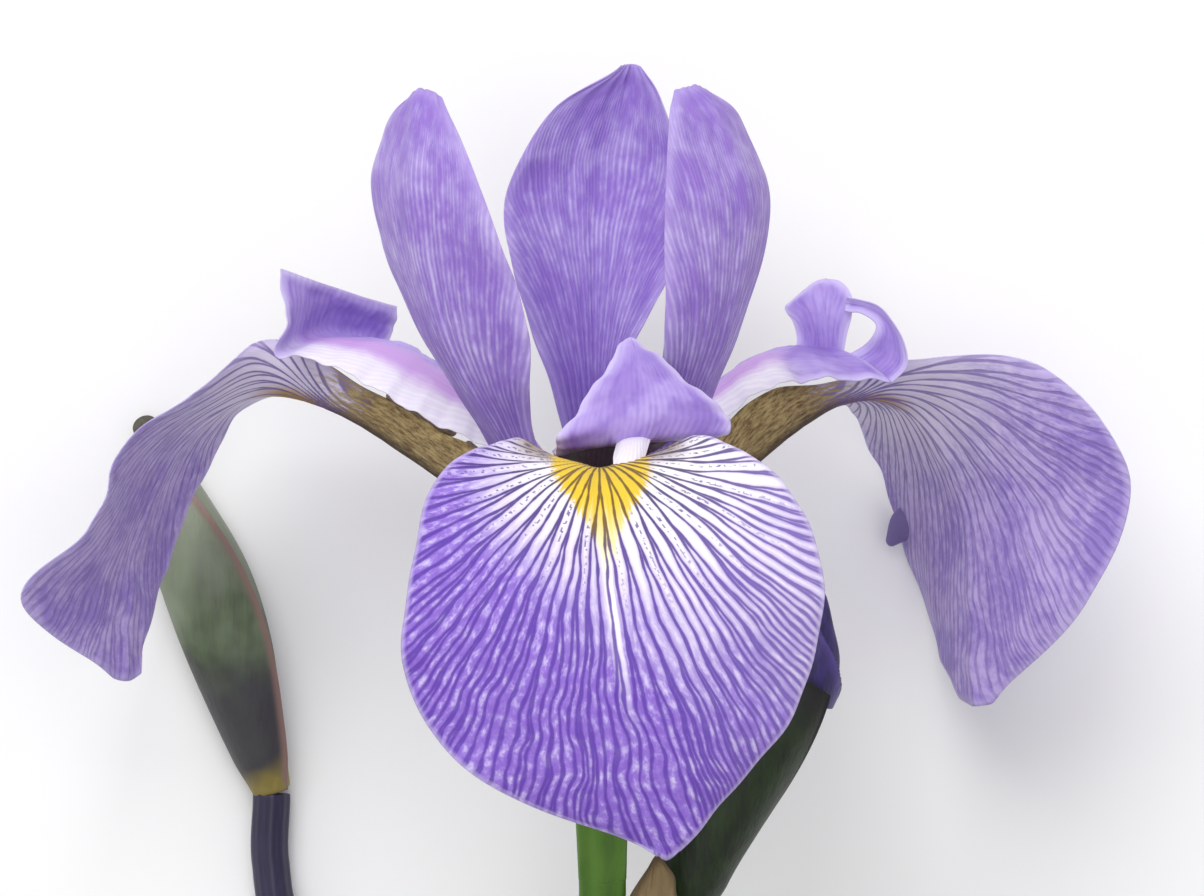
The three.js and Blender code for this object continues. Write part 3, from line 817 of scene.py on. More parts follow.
@dataclass(frozen=True)
class FallFinish:
    """Fresh fall tissue: a soft matt skin of tiny domed cells, which scatters light and never mirrors it.

    Its upper face is white near the throat and fills with violet further out, between forking veins, with
    a yellow signal at its head. Its lower face is greyer, with the veins showing softly through.
    """

    white: str = "#f6f1fb"
    violet: str = "#9c7cd6"
    deep_violet: str = "#7b54bd"
    halo: str = "#8059c2"
    pale_edge: str = "#c3b6e2"
    vein_near: str = "#2f2450"
    vein_far: str = "#5833a2"
    yellow: str = "#e9c62a"
    pale_yellow: str = "#f1e6b8"
    vein_brown: str = "#6e4e20"
    under: str = "#9780ca"
    under_light: str = "#bcaade"
    # Pale at the head of the lower face: partly the tissue's own paling, partly painted light.
    pale_and_lit_under: str = "#e4dcf0"
    under_vein: str = "#6d55a4"
    streak: str = "#a8842e"
    haft: str = "#b09a68"
    haft_vein: str = "#6a5230"
    haft_dark: str = "#3c2c1c"
    shoulder: str = "#8f7c70"
    veins: Veins = Veins(
        forks=(Fork(2.0, 5.0, 7.0), Fork(7.0, 6.0, 9.0), Fork(13.0, 8.0, 10.0), Fork(21.0, 14.0, 10.0)),
        half_width=(0.09, 0.14), softness=(0.04, 0.08), reach=30.0, wander=0.42, wander_mm=7.0,
    )
    mottle_mm: float = 0.9  # across the fine mottles that run along the veins
    patch_mm: float = 7.0  # across the broad clouds

    def build(self) -> bpy.types.Material:
        """Make the material.

        Returns:
            The material, ready to dress a piece in.
        """
        t = Tree("Iris fall tissue", roughness=0.58, ior=1.4, glow=0.1, sheen=0.05)
        net = self.veins.draw(t)
        blade = t.add("UVMap", uv_map="blade")
        w = t.add("SeparateXYZ", {0: blade})
        s = w.node.outputs[1]
        lane = t.add("Math", {0: net.x, 1: 8.0}, operation="MULTIPLY")
        run = t.add("Math", {0: net.r, 1: 0.7}, operation="MULTIPLY")
        streaks = t.add("CombineXYZ", {0: lane, 1: run})
        mottle = t.add(
            "TexNoise",
            {"Vector": streaks, "Scale": 1 / self.mottle_mm, "Detail": 4.0, "Roughness": 0.65},
        )
        top = self.upper_face(t, net, w, s, mottle)
        below = self.lower_face(t, net, w, s, mottle)
        upper = t.add("Attribute", out="Fac", attribute_name="upper")
        face = t.add("Mix", {0: upper, 6: below, 7: top}, **COLORS)

        # The narrow haft below the blade is tan and brown on both faces, in fine lengthwise fibres.
        fibre_lane = t.add("Math", {0: w, 1: 3.2}, operation="MULTIPLY")
        fibre_run = t.add("Math", {0: s, 1: 0.7}, operation="MULTIPLY")
        fibre_at = t.add("CombineXYZ", {0: fibre_lane, 1: fibre_run})
        fibre = t.add("TexNoise", {"Vector": fibre_at, "Scale": 1.0, "Detail": 4.0, "Roughness": 0.7})
        fibre = t.add("MapRange", {0: fibre, 1: 0.4, 2: 0.62})
        brown = t.add("Mix", {0: fibre, 6: tint(self.haft), 7: tint(self.haft_vein)}, **COLORS)
        aside = t.add("Math", {0: w}, operation="ABSOLUTE")
        keel = t.add("MapRange", {0: aside, 1: 1.7, 2: 0.3, 3: 0.0, 4: 0.85}, **SMOOTH)
        brown = t.add("Mix", {0: keel, 6: brown, 7: tint(self.haft_dark)}, **COLORS)
        ends = t.add("Math", {0: fibre, 1: 4.0, 2: s}, operation="MULTIPLY_ADD")
        narrow = t.add("MapRange", {0: ends, 1: 3.4, 2: -1.5}, **SMOOTH)
        face = t.add("Mix", {0: narrow, 6: face, 7: brown}, **COLORS)
        height = t.add("Math", {0: net.mask, 1: -0.5, 2: mottle}, operation="MULTIPLY_ADD")
        return t.dress(face, height, distance_mm=0.09)

    def upper_face(self, t: Tree, net: Net, w: Socket, s: Socket, mottle: Socket) -> Socket:
        """Colour the upper face.

        Args:
            t: The tree to draw in.
            net: The veins.
            w: Millimetres to the side of the midrib.
            s: Millimetres along it from the apex.
            mottle: Noise stretched along the veins.

        Returns:
            The output that holds the colour.
        """
        # Violet fills the ground from about 10 mm out, sooner at the sides and on the flower's left. The
        # mottles keep it broken.
        blade = t.add("UVMap", uv_map="blade")
        patches = t.add("TexNoise", {"Vector": blade, "Scale": 1 / self.patch_mm, "Detail": 2.0})
        reach = t.add("Math", {0: s, 1: -0.3, 2: net.r}, operation="MULTIPLY_ADD")
        reach = t.add("Math", {0: patches, 1: 9.0, 2: reach}, operation="MULTIPLY_ADD")
        reach = t.add("Math", {0: w, 1: -0.36, 2: reach}, operation="MULTIPLY_ADD")
        spread = t.add("MapRange", {0: reach, 1: 11.5, 2: 24.0, 3: 0.0, 4: 1.0}, **SMOOTH)
        grain = t.add("MapRange", {0: mottle, 1: 0.34, 2: 0.52, 3: 0.5, 4: 1.1})
        fill = t.add("Math", {0: spread, 1: grain}, operation="MULTIPLY", use_clamp=True)
        depth = t.add("MapRange", {0: mottle, 1: 0.46, 2: 0.62, 3: 0.0, 4: 0.7})
        violet = t.add("Mix", {0: depth, 6: tint(self.violet), 7: tint(self.deep_violet)}, **COLORS)
        ground = t.add("Mix", {0: fill, 6: tint(self.white), 7: violet}, **COLORS)

        # The veins bleed a softer violet to either side as they run out.
        bleed = t.add("MapRange", {0: net.away, 1: 0.5, 2: 0.1}, **SMOOTH)
        bleed_on = t.add("MapRange", {0: net.r, 1: 7.0, 2: 20.0, 3: 0.05, 4: 0.5})
        bleed = t.add("Math", {0: bleed, 1: bleed_on}, operation="MULTIPLY")
        ground = t.add("Mix", {0: bleed, 6: ground, 7: tint(self.halo)}, **COLORS)

        # A row of short flecks runs midway between two main veins.
        row = t.add("MapRange", {0: net.between, 1: 0.19, 2: 0.07}, **SMOOTH)
        row_at = t.add("CombineXYZ", {0: net.cell, 1: net.r})
        beads = t.add("TexNoise", {"Vector": row_at, "Scale": 2.3, "Detail": 1.0})
        beads = t.add("MapRange", {0: beads, 1: 0.52, 2: 0.6, 3: 0.0, 4: 0.8})
        fleck = t.add("Math", {0: row, 1: beads}, operation="MULTIPLY")
        inner = t.add("MapRange", {0: net.r, 1: 22.0, 2: 13.0})
        fleck = t.add("Math", {0: fleck, 1: inner}, operation="MULTIPLY")
        inked = self.ink(t, net.r)

        # Either side of the signal's head, the haft's brown runs a little way out along the shoulders.
        beside = t.add("Math", {0: w}, operation="ABSOLUTE")
        beside = t.add("Math", {0: mottle, 1: 3.0, 2: beside}, operation="MULTIPLY_ADD")
        inside = t.add("MapRange", {0: beside, 1: 4.2, 2: 5.6}, **SMOOTH)
        outside = t.add("MapRange", {0: beside, 1: 10.0, 2: 7.6}, **SMOOTH)
        back = t.add("MapRange", {0: s, 1: 4.6, 2: 1.2, 3: 0.0, 4: 0.85}, **SMOOTH)
        tanned = t.add("Math", {0: inside, 1: outside}, operation="MULTIPLY")
        tanned = t.add("Math", {0: tanned, 1: back}, operation="MULTIPLY")
        ground = t.add("Mix", {0: tanned, 6: ground, 7: tint(self.shoulder)}, **COLORS)
        ground = t.add("Mix", {0: fleck, 6: ground, 7: inked}, **COLORS)

        # The signal: yellow at the head, narrowing to a pale stripe down the midrib.
        wide = t.add("MapRange", {0: s, 1: 4.0, 2: 15.0, 3: 4.5, 4: 0.9}, **SMOOTH)
        ragged_at = t.add("CombineXYZ", {0: net.x, 1: 0.0})
        ragged = t.add("TexNoise", {"Vector": ragged_at, "Scale": 5.0, "Detail": 3.0})
        aside = t.add("Math", {0: w}, operation="ABSOLUTE")
        aside = t.add("Math", {0: ragged, 1: 3.4, 2: aside}, operation="MULTIPLY_ADD")
        within = t.add("Math", {0: wide, 1: aside}, operation="SUBTRACT")
        signal = t.add("MapRange", {0: within, 1: -1.6, 2: -0.9}, **SMOOTH)
        fade = t.add("MapRange", {0: s, 1: 31.0, 2: 18.0}, **SMOOTH)
        signal = t.add("Math", {0: signal, 1: fade}, operation="MULTIPLY")
        ends = t.add("Math", {0: ragged, 1: 9.0, 2: s}, operation="MULTIPLY_ADD")
        paling = t.add("MapRange", {0: ends, 1: 12.5, 2: 18.0}, **SMOOTH)
        gold = t.add("Mix", {0: paling, 6: tint(self.yellow), 7: tint(self.pale_yellow)}, **COLORS)
        whitening = t.add("MapRange", {0: s, 1: 13.0, 2: 18.0})
        gold = t.add("Mix", {0: whitening, 6: gold, 7: tint(self.white)}, **COLORS)
        ground = t.add("Mix", {0: signal, 6: ground, 7: gold}, **COLORS)

        golden = t.add("MapRange", {0: s, 1: 15.0, 2: 11.0})
        golden = t.add("Math", {0: golden, 1: signal}, operation="MULTIPLY")
        ink = t.add("Mix", {0: golden, 6: inked, 7: tint(self.vein_brown)}, **COLORS)
        strength = t.add("MapRange", {0: net.r, 1: 12.0, 2: 32.0, 3: 0.95, 4: 0.82})
        drawn = t.add("Math", {0: net.mask, 1: strength}, operation="MULTIPLY")
        top = t.add("Mix", {0: drawn, 6: ground, 7: ink}, **COLORS)
        pale = t.add("MapRange", {0: w, 1: 3.0, 2: 17.0, 3: 0.0, 4: 0.1})
        top = t.add("Mix", {0: pale, 6: top, 7: tint(self.white)}, **COLORS)
        margin = t.add("Attribute", out="Fac", attribute_name="margin")
        rim = t.add("MapRange", {0: margin, 1: 0.6, 2: 0.1, 3: 0.0, 4: 0.6}, **SMOOTH)
        return t.add("Mix", {0: rim, 6: top, 7: tint(self.pale_edge)}, **COLORS)

    def ink(self, t: Tree, r: Socket) -> Socket:
        """Give the veins' colour, dark indigo near the throat and violet from 18 mm out."""
        out_there = t.add("MapRange", {0: r, 1: 7.0, 2: 18.0})
        return t.add("Mix", {0: out_there, 6: tint(self.vein_near), 7: tint(self.vein_far)}, **COLORS)

    def lower_face(self, t: Tree, net: Net, w: Socket, s: Socket, mottle: Socket) -> Socket:
        """Colour the lower face: violet with pale clouds along the veins, and pale towards its head, partly
        its own paling and partly painted light on the arched head.

        Args:
            t: The tree to draw in.
            net: The veins.
            w: Millimetres to the side of the midrib.
            s: Millimetres along it from the apex.
            mottle: Noise stretched along the veins.

        Returns:
            The output that holds the colour.
        """
        blade = t.add("UVMap", uv_map="blade")
        patches = t.add("TexNoise", {"Vector": blade, "Scale": 1 / self.patch_mm, "Detail": 2.0})
        cloud = t.add("Math", {0: mottle, 1: 0.9, 2: patches}, operation="MULTIPLY_ADD")
        cloud = t.add("MapRange", {0: cloud, 1: 0.82, 2: 1.08})
        below = t.add("Mix", {0: cloud, 6: tint(self.under), 7: tint(self.under_light)}, **COLORS)
        # Pale towards the head: partly the tissue's own paling, partly painted light on the arched head that
        # faces the light.
        head = t.add("Math", {0: mottle, 1: -9.0, 2: net.r}, operation="MULTIPLY_ADD")
        head = t.add("MapRange", {0: head, 1: 16.0, 2: 3.0, 3: 0.0, 4: 0.95}, **SMOOTH)
        below = t.add("Mix", {0: head, 6: below, 7: tint(self.pale_and_lit_under)}, **COLORS)

        # The signal shows through as a tan streak at the head of the midrib.
        aside = t.add("Math", {0: w}, operation="ABSOLUTE")
        aside = t.add("Math", {0: mottle, 1: 1.6, 2: aside}, operation="MULTIPLY_ADD")
        near = t.add("MapRange", {0: aside, 1: 2.6, 2: 1.3})
        short = t.add("MapRange", {0: s, 1: 9.5, 2: 4.0, 3: 0.0, 4: 0.95}, **SMOOTH)
        streak = t.add("Math", {0: near, 1: short}, operation="MULTIPLY")
        below = t.add("Mix", {0: streak, 6: below, 7: tint(self.streak)}, **COLORS)
        strength = t.add("MapRange", {0: net.r, 1: 4.0, 2: 24.0, 3: 0.85, 4: 0.45})
        shown = t.add("Math", {0: net.mask, 1: strength}, operation="MULTIPLY")
        below = t.add("Mix", {0: shown, 6: below, 7: tint(self.under_vein)}, **COLORS)
        margin = t.add("Attribute", out="Fac", attribute_name="margin")
        rim = t.add("MapRange", {0: margin, 1: 0.9, 2: 0.1, 3: 0.0, 4: 0.5}, **SMOOTH)
        return t.add("Mix", {0: rim, 6: below, 7: tint(self.pale_edge)}, **COLORS)


@dataclass(frozen=True)
class StandardFinish:
    """Fresh standard tissue: thinner and more even than a fall's, violet with soft lengthwise veins."""

    violet: str = "#9f80d2"
    light: str = "#c8b9ea"
    base: str = "#7a55b6"
    vein: str = "#7c59ba"
    base_vein: str = "#573890"
    edge: str = "#cdc0ec"
    veins: Veins = Veins(
        forks=(Fork(6.0, 6.0, 9.0), Fork(15.0, 9.0, 10.0), Fork(25.0, 9.0, 9.0)),
        half_width=(0.15, 0.13), softness=(0.12, 0.15), reach=40.0, wander=0.5,
    )

    def build(self) -> bpy.types.Material:
        """Make the material.

        Returns:
            The material, ready to dress a piece in.
        """
        t = Tree("Iris standard tissue", roughness=0.55, ior=1.4, glow=0.15, sheen=0.08)
        net = self.veins.draw(t)
        vein, r = net.mask, net.r
        blade = t.add("UVMap", uv_map="blade")
        margin = t.add("Attribute", out="Fac", attribute_name="margin")
        lane = t.add("Math", {0: net.x, 1: 2.4}, operation="MULTIPLY")
        run = t.add("Math", {0: r, 1: 0.5}, operation="MULTIPLY")
        streaks = t.add("CombineXYZ", {0: lane, 1: run})
        mottle = t.add("TexNoise", {"Vector": streaks, "Scale": 1.0, "Detail": 4.0, "Roughness": 0.6})
        patches = t.add("TexNoise", {"Vector": blade, "Scale": 1 / 8.0, "Detail": 2.0})
        cloud = t.add("Math", {0: mottle, 1: patches}, operation="ADD")
        cloud = t.add("MapRange", {0: cloud, 1: 0.86, 2: 1.18})
        body = t.add("Mix", {0: cloud, 6: tint(self.violet), 7: tint(self.light)}, **COLORS)
        low = t.add("MapRange", {0: r, 1: 25.0, 2: 6.0, 3: 0.0, 4: 0.8}, **SMOOTH)
        body = t.add("Mix", {0: low, 6: body, 7: tint(self.base)}, **COLORS)
        strength = t.add("MapRange", {0: r, 1: 4.0, 2: 34.0, 3: 0.85, 4: 0.6})
        drawn = t.add("Math", {0: vein, 1: strength}, operation="MULTIPLY")
        deeper = t.add("Mix", {0: low, 6: tint(self.vein), 7: tint(self.base_vein)}, **COLORS)
        body = t.add("Mix", {0: drawn, 6: body, 7: deeper}, **COLORS)
        rim = t.add("MapRange", {0: margin, 1: 1.6, 2: 0.1, 3: 0.0, 4: 0.3}, **SMOOTH)
        body = t.add("Mix", {0: rim, 6: body, 7: tint(self.edge)}, **COLORS)
        height = t.add("Math", {0: vein, 1: -0.5, 2: mottle}, operation="MULTIPLY_ADD")
        return t.dress(body, height, distance_mm=0.1)


@dataclass(frozen=True)
class StyleFinish:
    """Fresh style-arm tissue: petal-like, lilac above with a pink line, and white on its lower side; its
    crest carries painted shade under its rolled rim and in its pleats.
    """

    lilac: str = "#967aca"
    # deep: the painted shade under the crest's rim and in its pleats, and the veins' colour
    deep: str = "#7f60bc"
    bright: str = "#b5a0e0"
    pink: str = "#c99fdf"
    white: str = "#ece6f2"
    edge: str = "#d0c4ee"
    throat: str = "#4a3524"
    veins: Veins = Veins(
        forks=(Fork(8.0, 6.0, 6.0), Fork(16.0, 5.0, 6.0)),
        half_width=(0.1, 0.12), softness=(0.12, 0.2), reach=30.0, wander=0.5,
    )

    def build(self) -> bpy.types.Material:
        """Make the material.

        Returns:
            The material, ready to dress a piece in.
        """
        t = Tree("Iris style tissue", roughness=0.5, ior=1.4, glow=0.12, sheen=0.05)
        net = self.veins.draw(t)
        blade = t.add("UVMap", uv_map="blade")
        margin = t.add("Attribute", out="Fac", attribute_name="margin")
        across = t.add("Attribute", out="Fac", attribute_name="across")
        crest = t.add("Attribute", out="Fac", attribute_name="crest")
        fold = t.add("Attribute", out="Fac", attribute_name="fold")
        noise = t.add("TexNoise", {"Vector": blade, "Scale": 0.3, "Detail": 3.0})
        side = t.add("Math", {0: noise, 1: 0.2, 2: across}, operation="MULTIPLY_ADD")
        pinkness = t.add("MapRange", {0: side, 1: 0.55, 2: 0.72}, **SMOOTH)
        arm = t.add("Mix", {0: pinkness, 6: tint(self.bright), 7: tint(self.pink)}, **COLORS)
        whiteness = t.add("MapRange", {0: side, 1: 0.82, 2: 0.98}, **SMOOTH)
        arm = t.add("Mix", {0: whiteness, 6: arm, 7: tint(self.white)}, **COLORS)
        cloud = t.add("MapRange", {0: noise, 1: 0.35, 2: 0.65})
        top = t.add("Mix", {0: cloud, 6: tint(self.lilac), 7: tint(self.bright)}, **COLORS)
        # Painted shade: the crest darkens in a band under its rolled rim, from the mark fold.
        top = t.add("Mix", {0: fold, 6: top, 7: tint(self.deep)}, **COLORS)
        face = t.add("Mix", {0: crest, 6: arm, 7: top}, **COLORS)
        throat = t.add("Attribute", out="Fac", attribute_name="throat")
        face = t.add("Mix", {0: throat, 6: face, 7: tint(self.throat)}, **COLORS)
        # Painted shade in the crest's pleats: dark streaks along the veins, on the crest only.
        lane = t.add("Math", {0: net.x, 1: 1.7}, operation="MULTIPLY")
        run = t.add("Math", {0: net.r, 1: 0.35}, operation="MULTIPLY")
        pleats_at = t.add("CombineXYZ", {0: lane, 1: run})
        pleats = t.add("TexNoise", {"Vector": pleats_at, "Scale": 1.0, "Detail": 3.0})
        pleats = t.add("MapRange", {0: pleats, 1: 0.5, 2: 0.72, 3: 0.0, 4: 0.7})
        pleats = t.add("Math", {0: pleats, 1: crest}, operation="MULTIPLY")
        face = t.add("Mix", {0: pleats, 6: face, 7: tint(self.deep)}, **COLORS)
        drawn = t.add("Math", {0: net.mask, 1: 0.13}, operation="MULTIPLY")
        face = t.add("Mix", {0: drawn, 6: face, 7: tint(self.deep)}, **COLORS)
        rim = t.add("MapRange", {0: margin, 1: 1.0, 2: 0.1, 3: 0.0, 4: 0.75}, **SMOOTH)
        rim = t.add("Math", {0: rim, 1: crest}, operation="MULTIPLY")
        face = t.add("Mix", {0: rim, 6: face, 7: tint(self.edge)}, **COLORS)
        return t.dress(face, net.mask, distance_mm=0.03)


@dataclass(frozen=True)
class StalkFinish:
    """The smooth green skin of a fresh stalk, with fine pale ribs along it and a thin waxy bloom."""

    name: str
    green: str
    dark: str
    light: str
    ribs: int
    roughness: float = 0.42

    def build(self) -> bpy.types.Material:
        """Make the material.

        Returns:
            The material, ready to dress a piece in.
        """
        t = Tree(self.name, roughness=self.roughness, ior=1.45, glow=0.06)
        skin = t.add("UVMap", uv_map="skin")
        turn = t.add("SeparateXYZ", {0: skin})
        where = t.add("TexCoord", out="Object")
        stretched = t.add("Mapping", {"Vector": where, "Scale": (1000.0, 160.0, 1000.0)})
        fibre = t.add("TexNoise", {"Vector": stretched, "Scale": 2.2, "Detail": 3.0})
        patches = t.add("TexNoise", {"Vector": where, "Scale": 140.0, "Detail": 2.0})
        wave = t.add("Math", {0: turn, 1: 2 * np.pi * self.ribs}, operation="MULTIPLY")
        wave = t.add("Math", {0: wave}, operation="SINE")
        rib = t.add("MapRange", {0: wave, 1: -1.0, 2: 1.0, 3: 0.0, 4: 0.4})
        mixed = t.add("Math", {0: fibre, 1: 0.6, 2: rib}, operation="MULTIPLY_ADD")
        body = t.add("Mix", {0: mixed, 6: tint(self.dark), 7: tint(self.green)}, **COLORS)
        bloom = t.add("MapRange", {0: patches, 1: 0.4, 2: 0.75, 3: 0.0, 4: 0.45})
        body = t.add("Mix", {0: bloom, 6: body, 7: tint(self.light)}, **COLORS)
        return t.dress(body, mixed, distance_mm=0.1)


@dataclass(frozen=True)
class SpatheFinish:
    """A leafy bract: lengthwise fibres under a thin skin, bleached or browned towards its edges and tip."""

    name: str
    body: str
    dark: str
    light: str
    edge: str
    tip: str
    foot: str | None = None  # at the base
    low: str | None = None  # just above it
    high: str | None = None  # painted light: lighter from the middle to near the tip, where the light from above falls
    roughness: float = 0.5

    def build(self) -> bpy.types.Material:
        """Make the material.

        Returns:
            The material, ready to dress a piece in.
        """
        t = Tree(self.name, roughness=self.roughness, ior=1.45, glow=0.05)
        margin = t.add("Attribute", out="Fac", attribute_name="margin")
        share = t.add("Attribute", out="Fac", attribute_name="share")
        where = t.add("TexCoord", out="Object")
        stretched = t.add("Mapping", {"Vector": where, "Scale": (1000.0, 120.0, 1000.0)})
        fibre = t.add("TexNoise", {"Vector": stretched, "Scale": 1.3, "Detail": 4.0, "Roughness": 0.6})
        patches = t.add("TexNoise", {"Vector": where, "Scale": 120.0, "Detail": 3.0})
        cloud = t.add("MapRange", {0: fibre, 1: 0.35, 2: 0.65})
        body = t.add("Mix", {0: cloud, 6: tint(self.dark), 7: tint(self.body)}, **COLORS)
        patch = t.add("MapRange", {0: patches, 1: 0.45, 2: 0.7, 3: 0.0, 4: 0.8})
        body = t.add("Mix", {0: patch, 6: body, 7: tint(self.light)}, **COLORS)
        along = t.add("Math", {0: patches, 1: 0.24, 2: share}, operation="MULTIPLY_ADD")
        zones = (  # a colour, the shares of the length where it starts and is full, and how strong it gets
            (self.high, 0.5, 0.85, 0.8), (self.low, 0.6, 0.42, 0.85), (self.foot, 0.24, 0.15, 0.9),
        )
        # The high zone is painted light from above; the low and foot zones are the spathe's own colour.
        for color, start, stop, most in zones:
            if color:
                zone = t.add("MapRange", {0: along, 1: start, 2: stop, 3: 0.0, 4: most}, **SMOOTH)
                body = t.add("Mix", {0: zone, 6: body, 7: tint(color)}, **COLORS)
        end = t.add("MapRange", {0: share, 1: 0.72, 2: 1.0}, **SMOOTH)
        body = t.add("Mix", {0: end, 6: body, 7: tint(self.tip)}, **COLORS)
        rim = t.add("MapRange", {0: margin, 1: 1.0, 2: 0.1, 3: 0.0, 4: 0.9}, **SMOOTH)
        body = t.add("Mix", {0: rim, 6: body, 7: tint(self.edge)}, **COLORS)
        return t.dress(body, fibre, distance_mm=0.12)


@dataclass(frozen=True)
class FurledFinish:
    """Furled bud petals: nearly black indigo where they overlap, lighter violet along each rolled edge."""

    dark: str = "#241c44"
    indigo: str = "#36286a"
    light: str = "#54448c"

    def build(self) -> bpy.types.Material:
        """Make the material.

        Returns:
            The material, ready to dress a piece in.
        """
        t = Tree("Furled iris petal", roughness=0.5, ior=1.4, sheen=0.1)
        where = t.add("TexCoord", out="Object")
        stretched = t.add("Mapping", {"Vector": where, "Scale": (1000.0, 300.0, 1000.0)})
        fibre = t.add("TexNoise", {"Vector": stretched, "Scale": 1.6, "Detail": 3.0})
        cloud = t.add("MapRange", {0: fibre, 1: 0.38, 2: 0.62})
        body = t.add("Mix", {0: cloud, 6: tint(self.dark), 7: tint(self.indigo)}, **COLORS)
        fold = t.add("Attribute", out="Fac", attribute_name="fold")
        body = t.add("Mix", {0: fold, 6: body, 7: tint(self.light)}, **COLORS)
        return t.dress(body, fibre, distance_mm=0.12)


@dataclass(frozen=True)
class PlainFinish:
    """A pale organ or a matt surface whose colour varies only a little, as pollen or paper does."""

    name: str
    body: str
    light: str
    grain_mm: float
    roughness: float

    def build(self) -> bpy.types.Material:
        """Make the material.

        Returns:
            The material, ready to dress a piece in.
        """
        t = Tree(self.name, roughness=self.roughness, ior=1.45)
        where = t.add("TexCoord", out="Object")
        grain = t.add("TexNoise", {"Vector": where, "Scale": 1 / (self.grain_mm * MM), "Detail": 3.0})
        body = t.add("Mix", {0: grain, 6: tint(self.body), 7: tint(self.light)}, **COLORS)
        return t.dress(body, grain, distance_mm=0.1)


# ---- sub-assemblies --------------------------------------------------------------------------------------


def ribbed(count: int, depth: float) -> Shape:
    """Give the shape of a stalk with `count` rounded ribs: 1 + depth cos(count turns)."""
    return lambda t, turn: 1 + depth * np.cos(2 * np.pi * count * turn) + 0 * t


def curled(t: np.ndarray, turn: np.ndarray) -> np.ndarray:
    """Shape a rolled edge, flattened to two lobes that twist as it runs: 1 + 0.2 cos(2 turns + 0.8 t)."""
    return 1 + 0.2 * np.cos(4 * np.pi * (turn + 0.4 * t))


def two_celled(t: np.ndarray, turn: np.ndarray) -> np.ndarray:
    """Shape an anther, with a groove down either side: 1 - 0.22 |cos(turn)| to the power of 6."""
    return 1 - 0.22 * np.abs(np.cos(2 * np.pi * turn)) ** 6 + 0 * t


def keeled(t: np.ndarray, turn: np.ndarray) -> np.ndarray:
    """Shape a bud's spathe: a keel a tenth of a turn round, less nine shallow ribs that fade to the tip.

    The shape is 1 + 0.1 exp(-(distance from the keel / 0.05) squared) - 0.03 cos(9 turns) (1 - t).

    Args:
        t: The share along.
        turn: The share of a turn.

    Returns:
        What to multiply the radius by.
    """
    aside = (turn - 0.1 + 0.5) % 1 - 0.5
    return 1 + 0.1 * np.exp(-(aside / 0.05) ** 2) - 0.03 * np.cos(2 * np.pi * 9 * turn) * (1 - t)


def overlap(t: np.ndarray, turn: np.ndarray) -> np.ndarray:
    """Give the share across one of three petals that wind about a bud, 1.4 petals from foot to tip."""
    return (3 * turn + 1.4 * t) % 1


def furled(t: np.ndarray, turn: np.ndarray) -> np.ndarray:
    """Shape a bud's rolled petals, each rising to the edge that laps the next: 0.16 (share cubed - 0.3)."""
    return 1 + 0.16 * (overlap(t, turn) ** 3 - 0.3)


class Side(Enum):
    """Which way a petal points, seen from the front."""

    FRONT = "front"
    LEFT = "left"
    RIGHT = "right"
    BACK = "back"


def show(piece: bpy.types.Object, node: str) -> None:
    """Let a piece ride with the flower and stand for its CAD node, whose part it hides.

    Args:
        piece: The finished object.
        node: The CAD node it stands for.
    """
    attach(piece, "root")
    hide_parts(node)
    LOG.info("%s: %d faces, for %s", piece.name, len(piece.data.polygons), node)


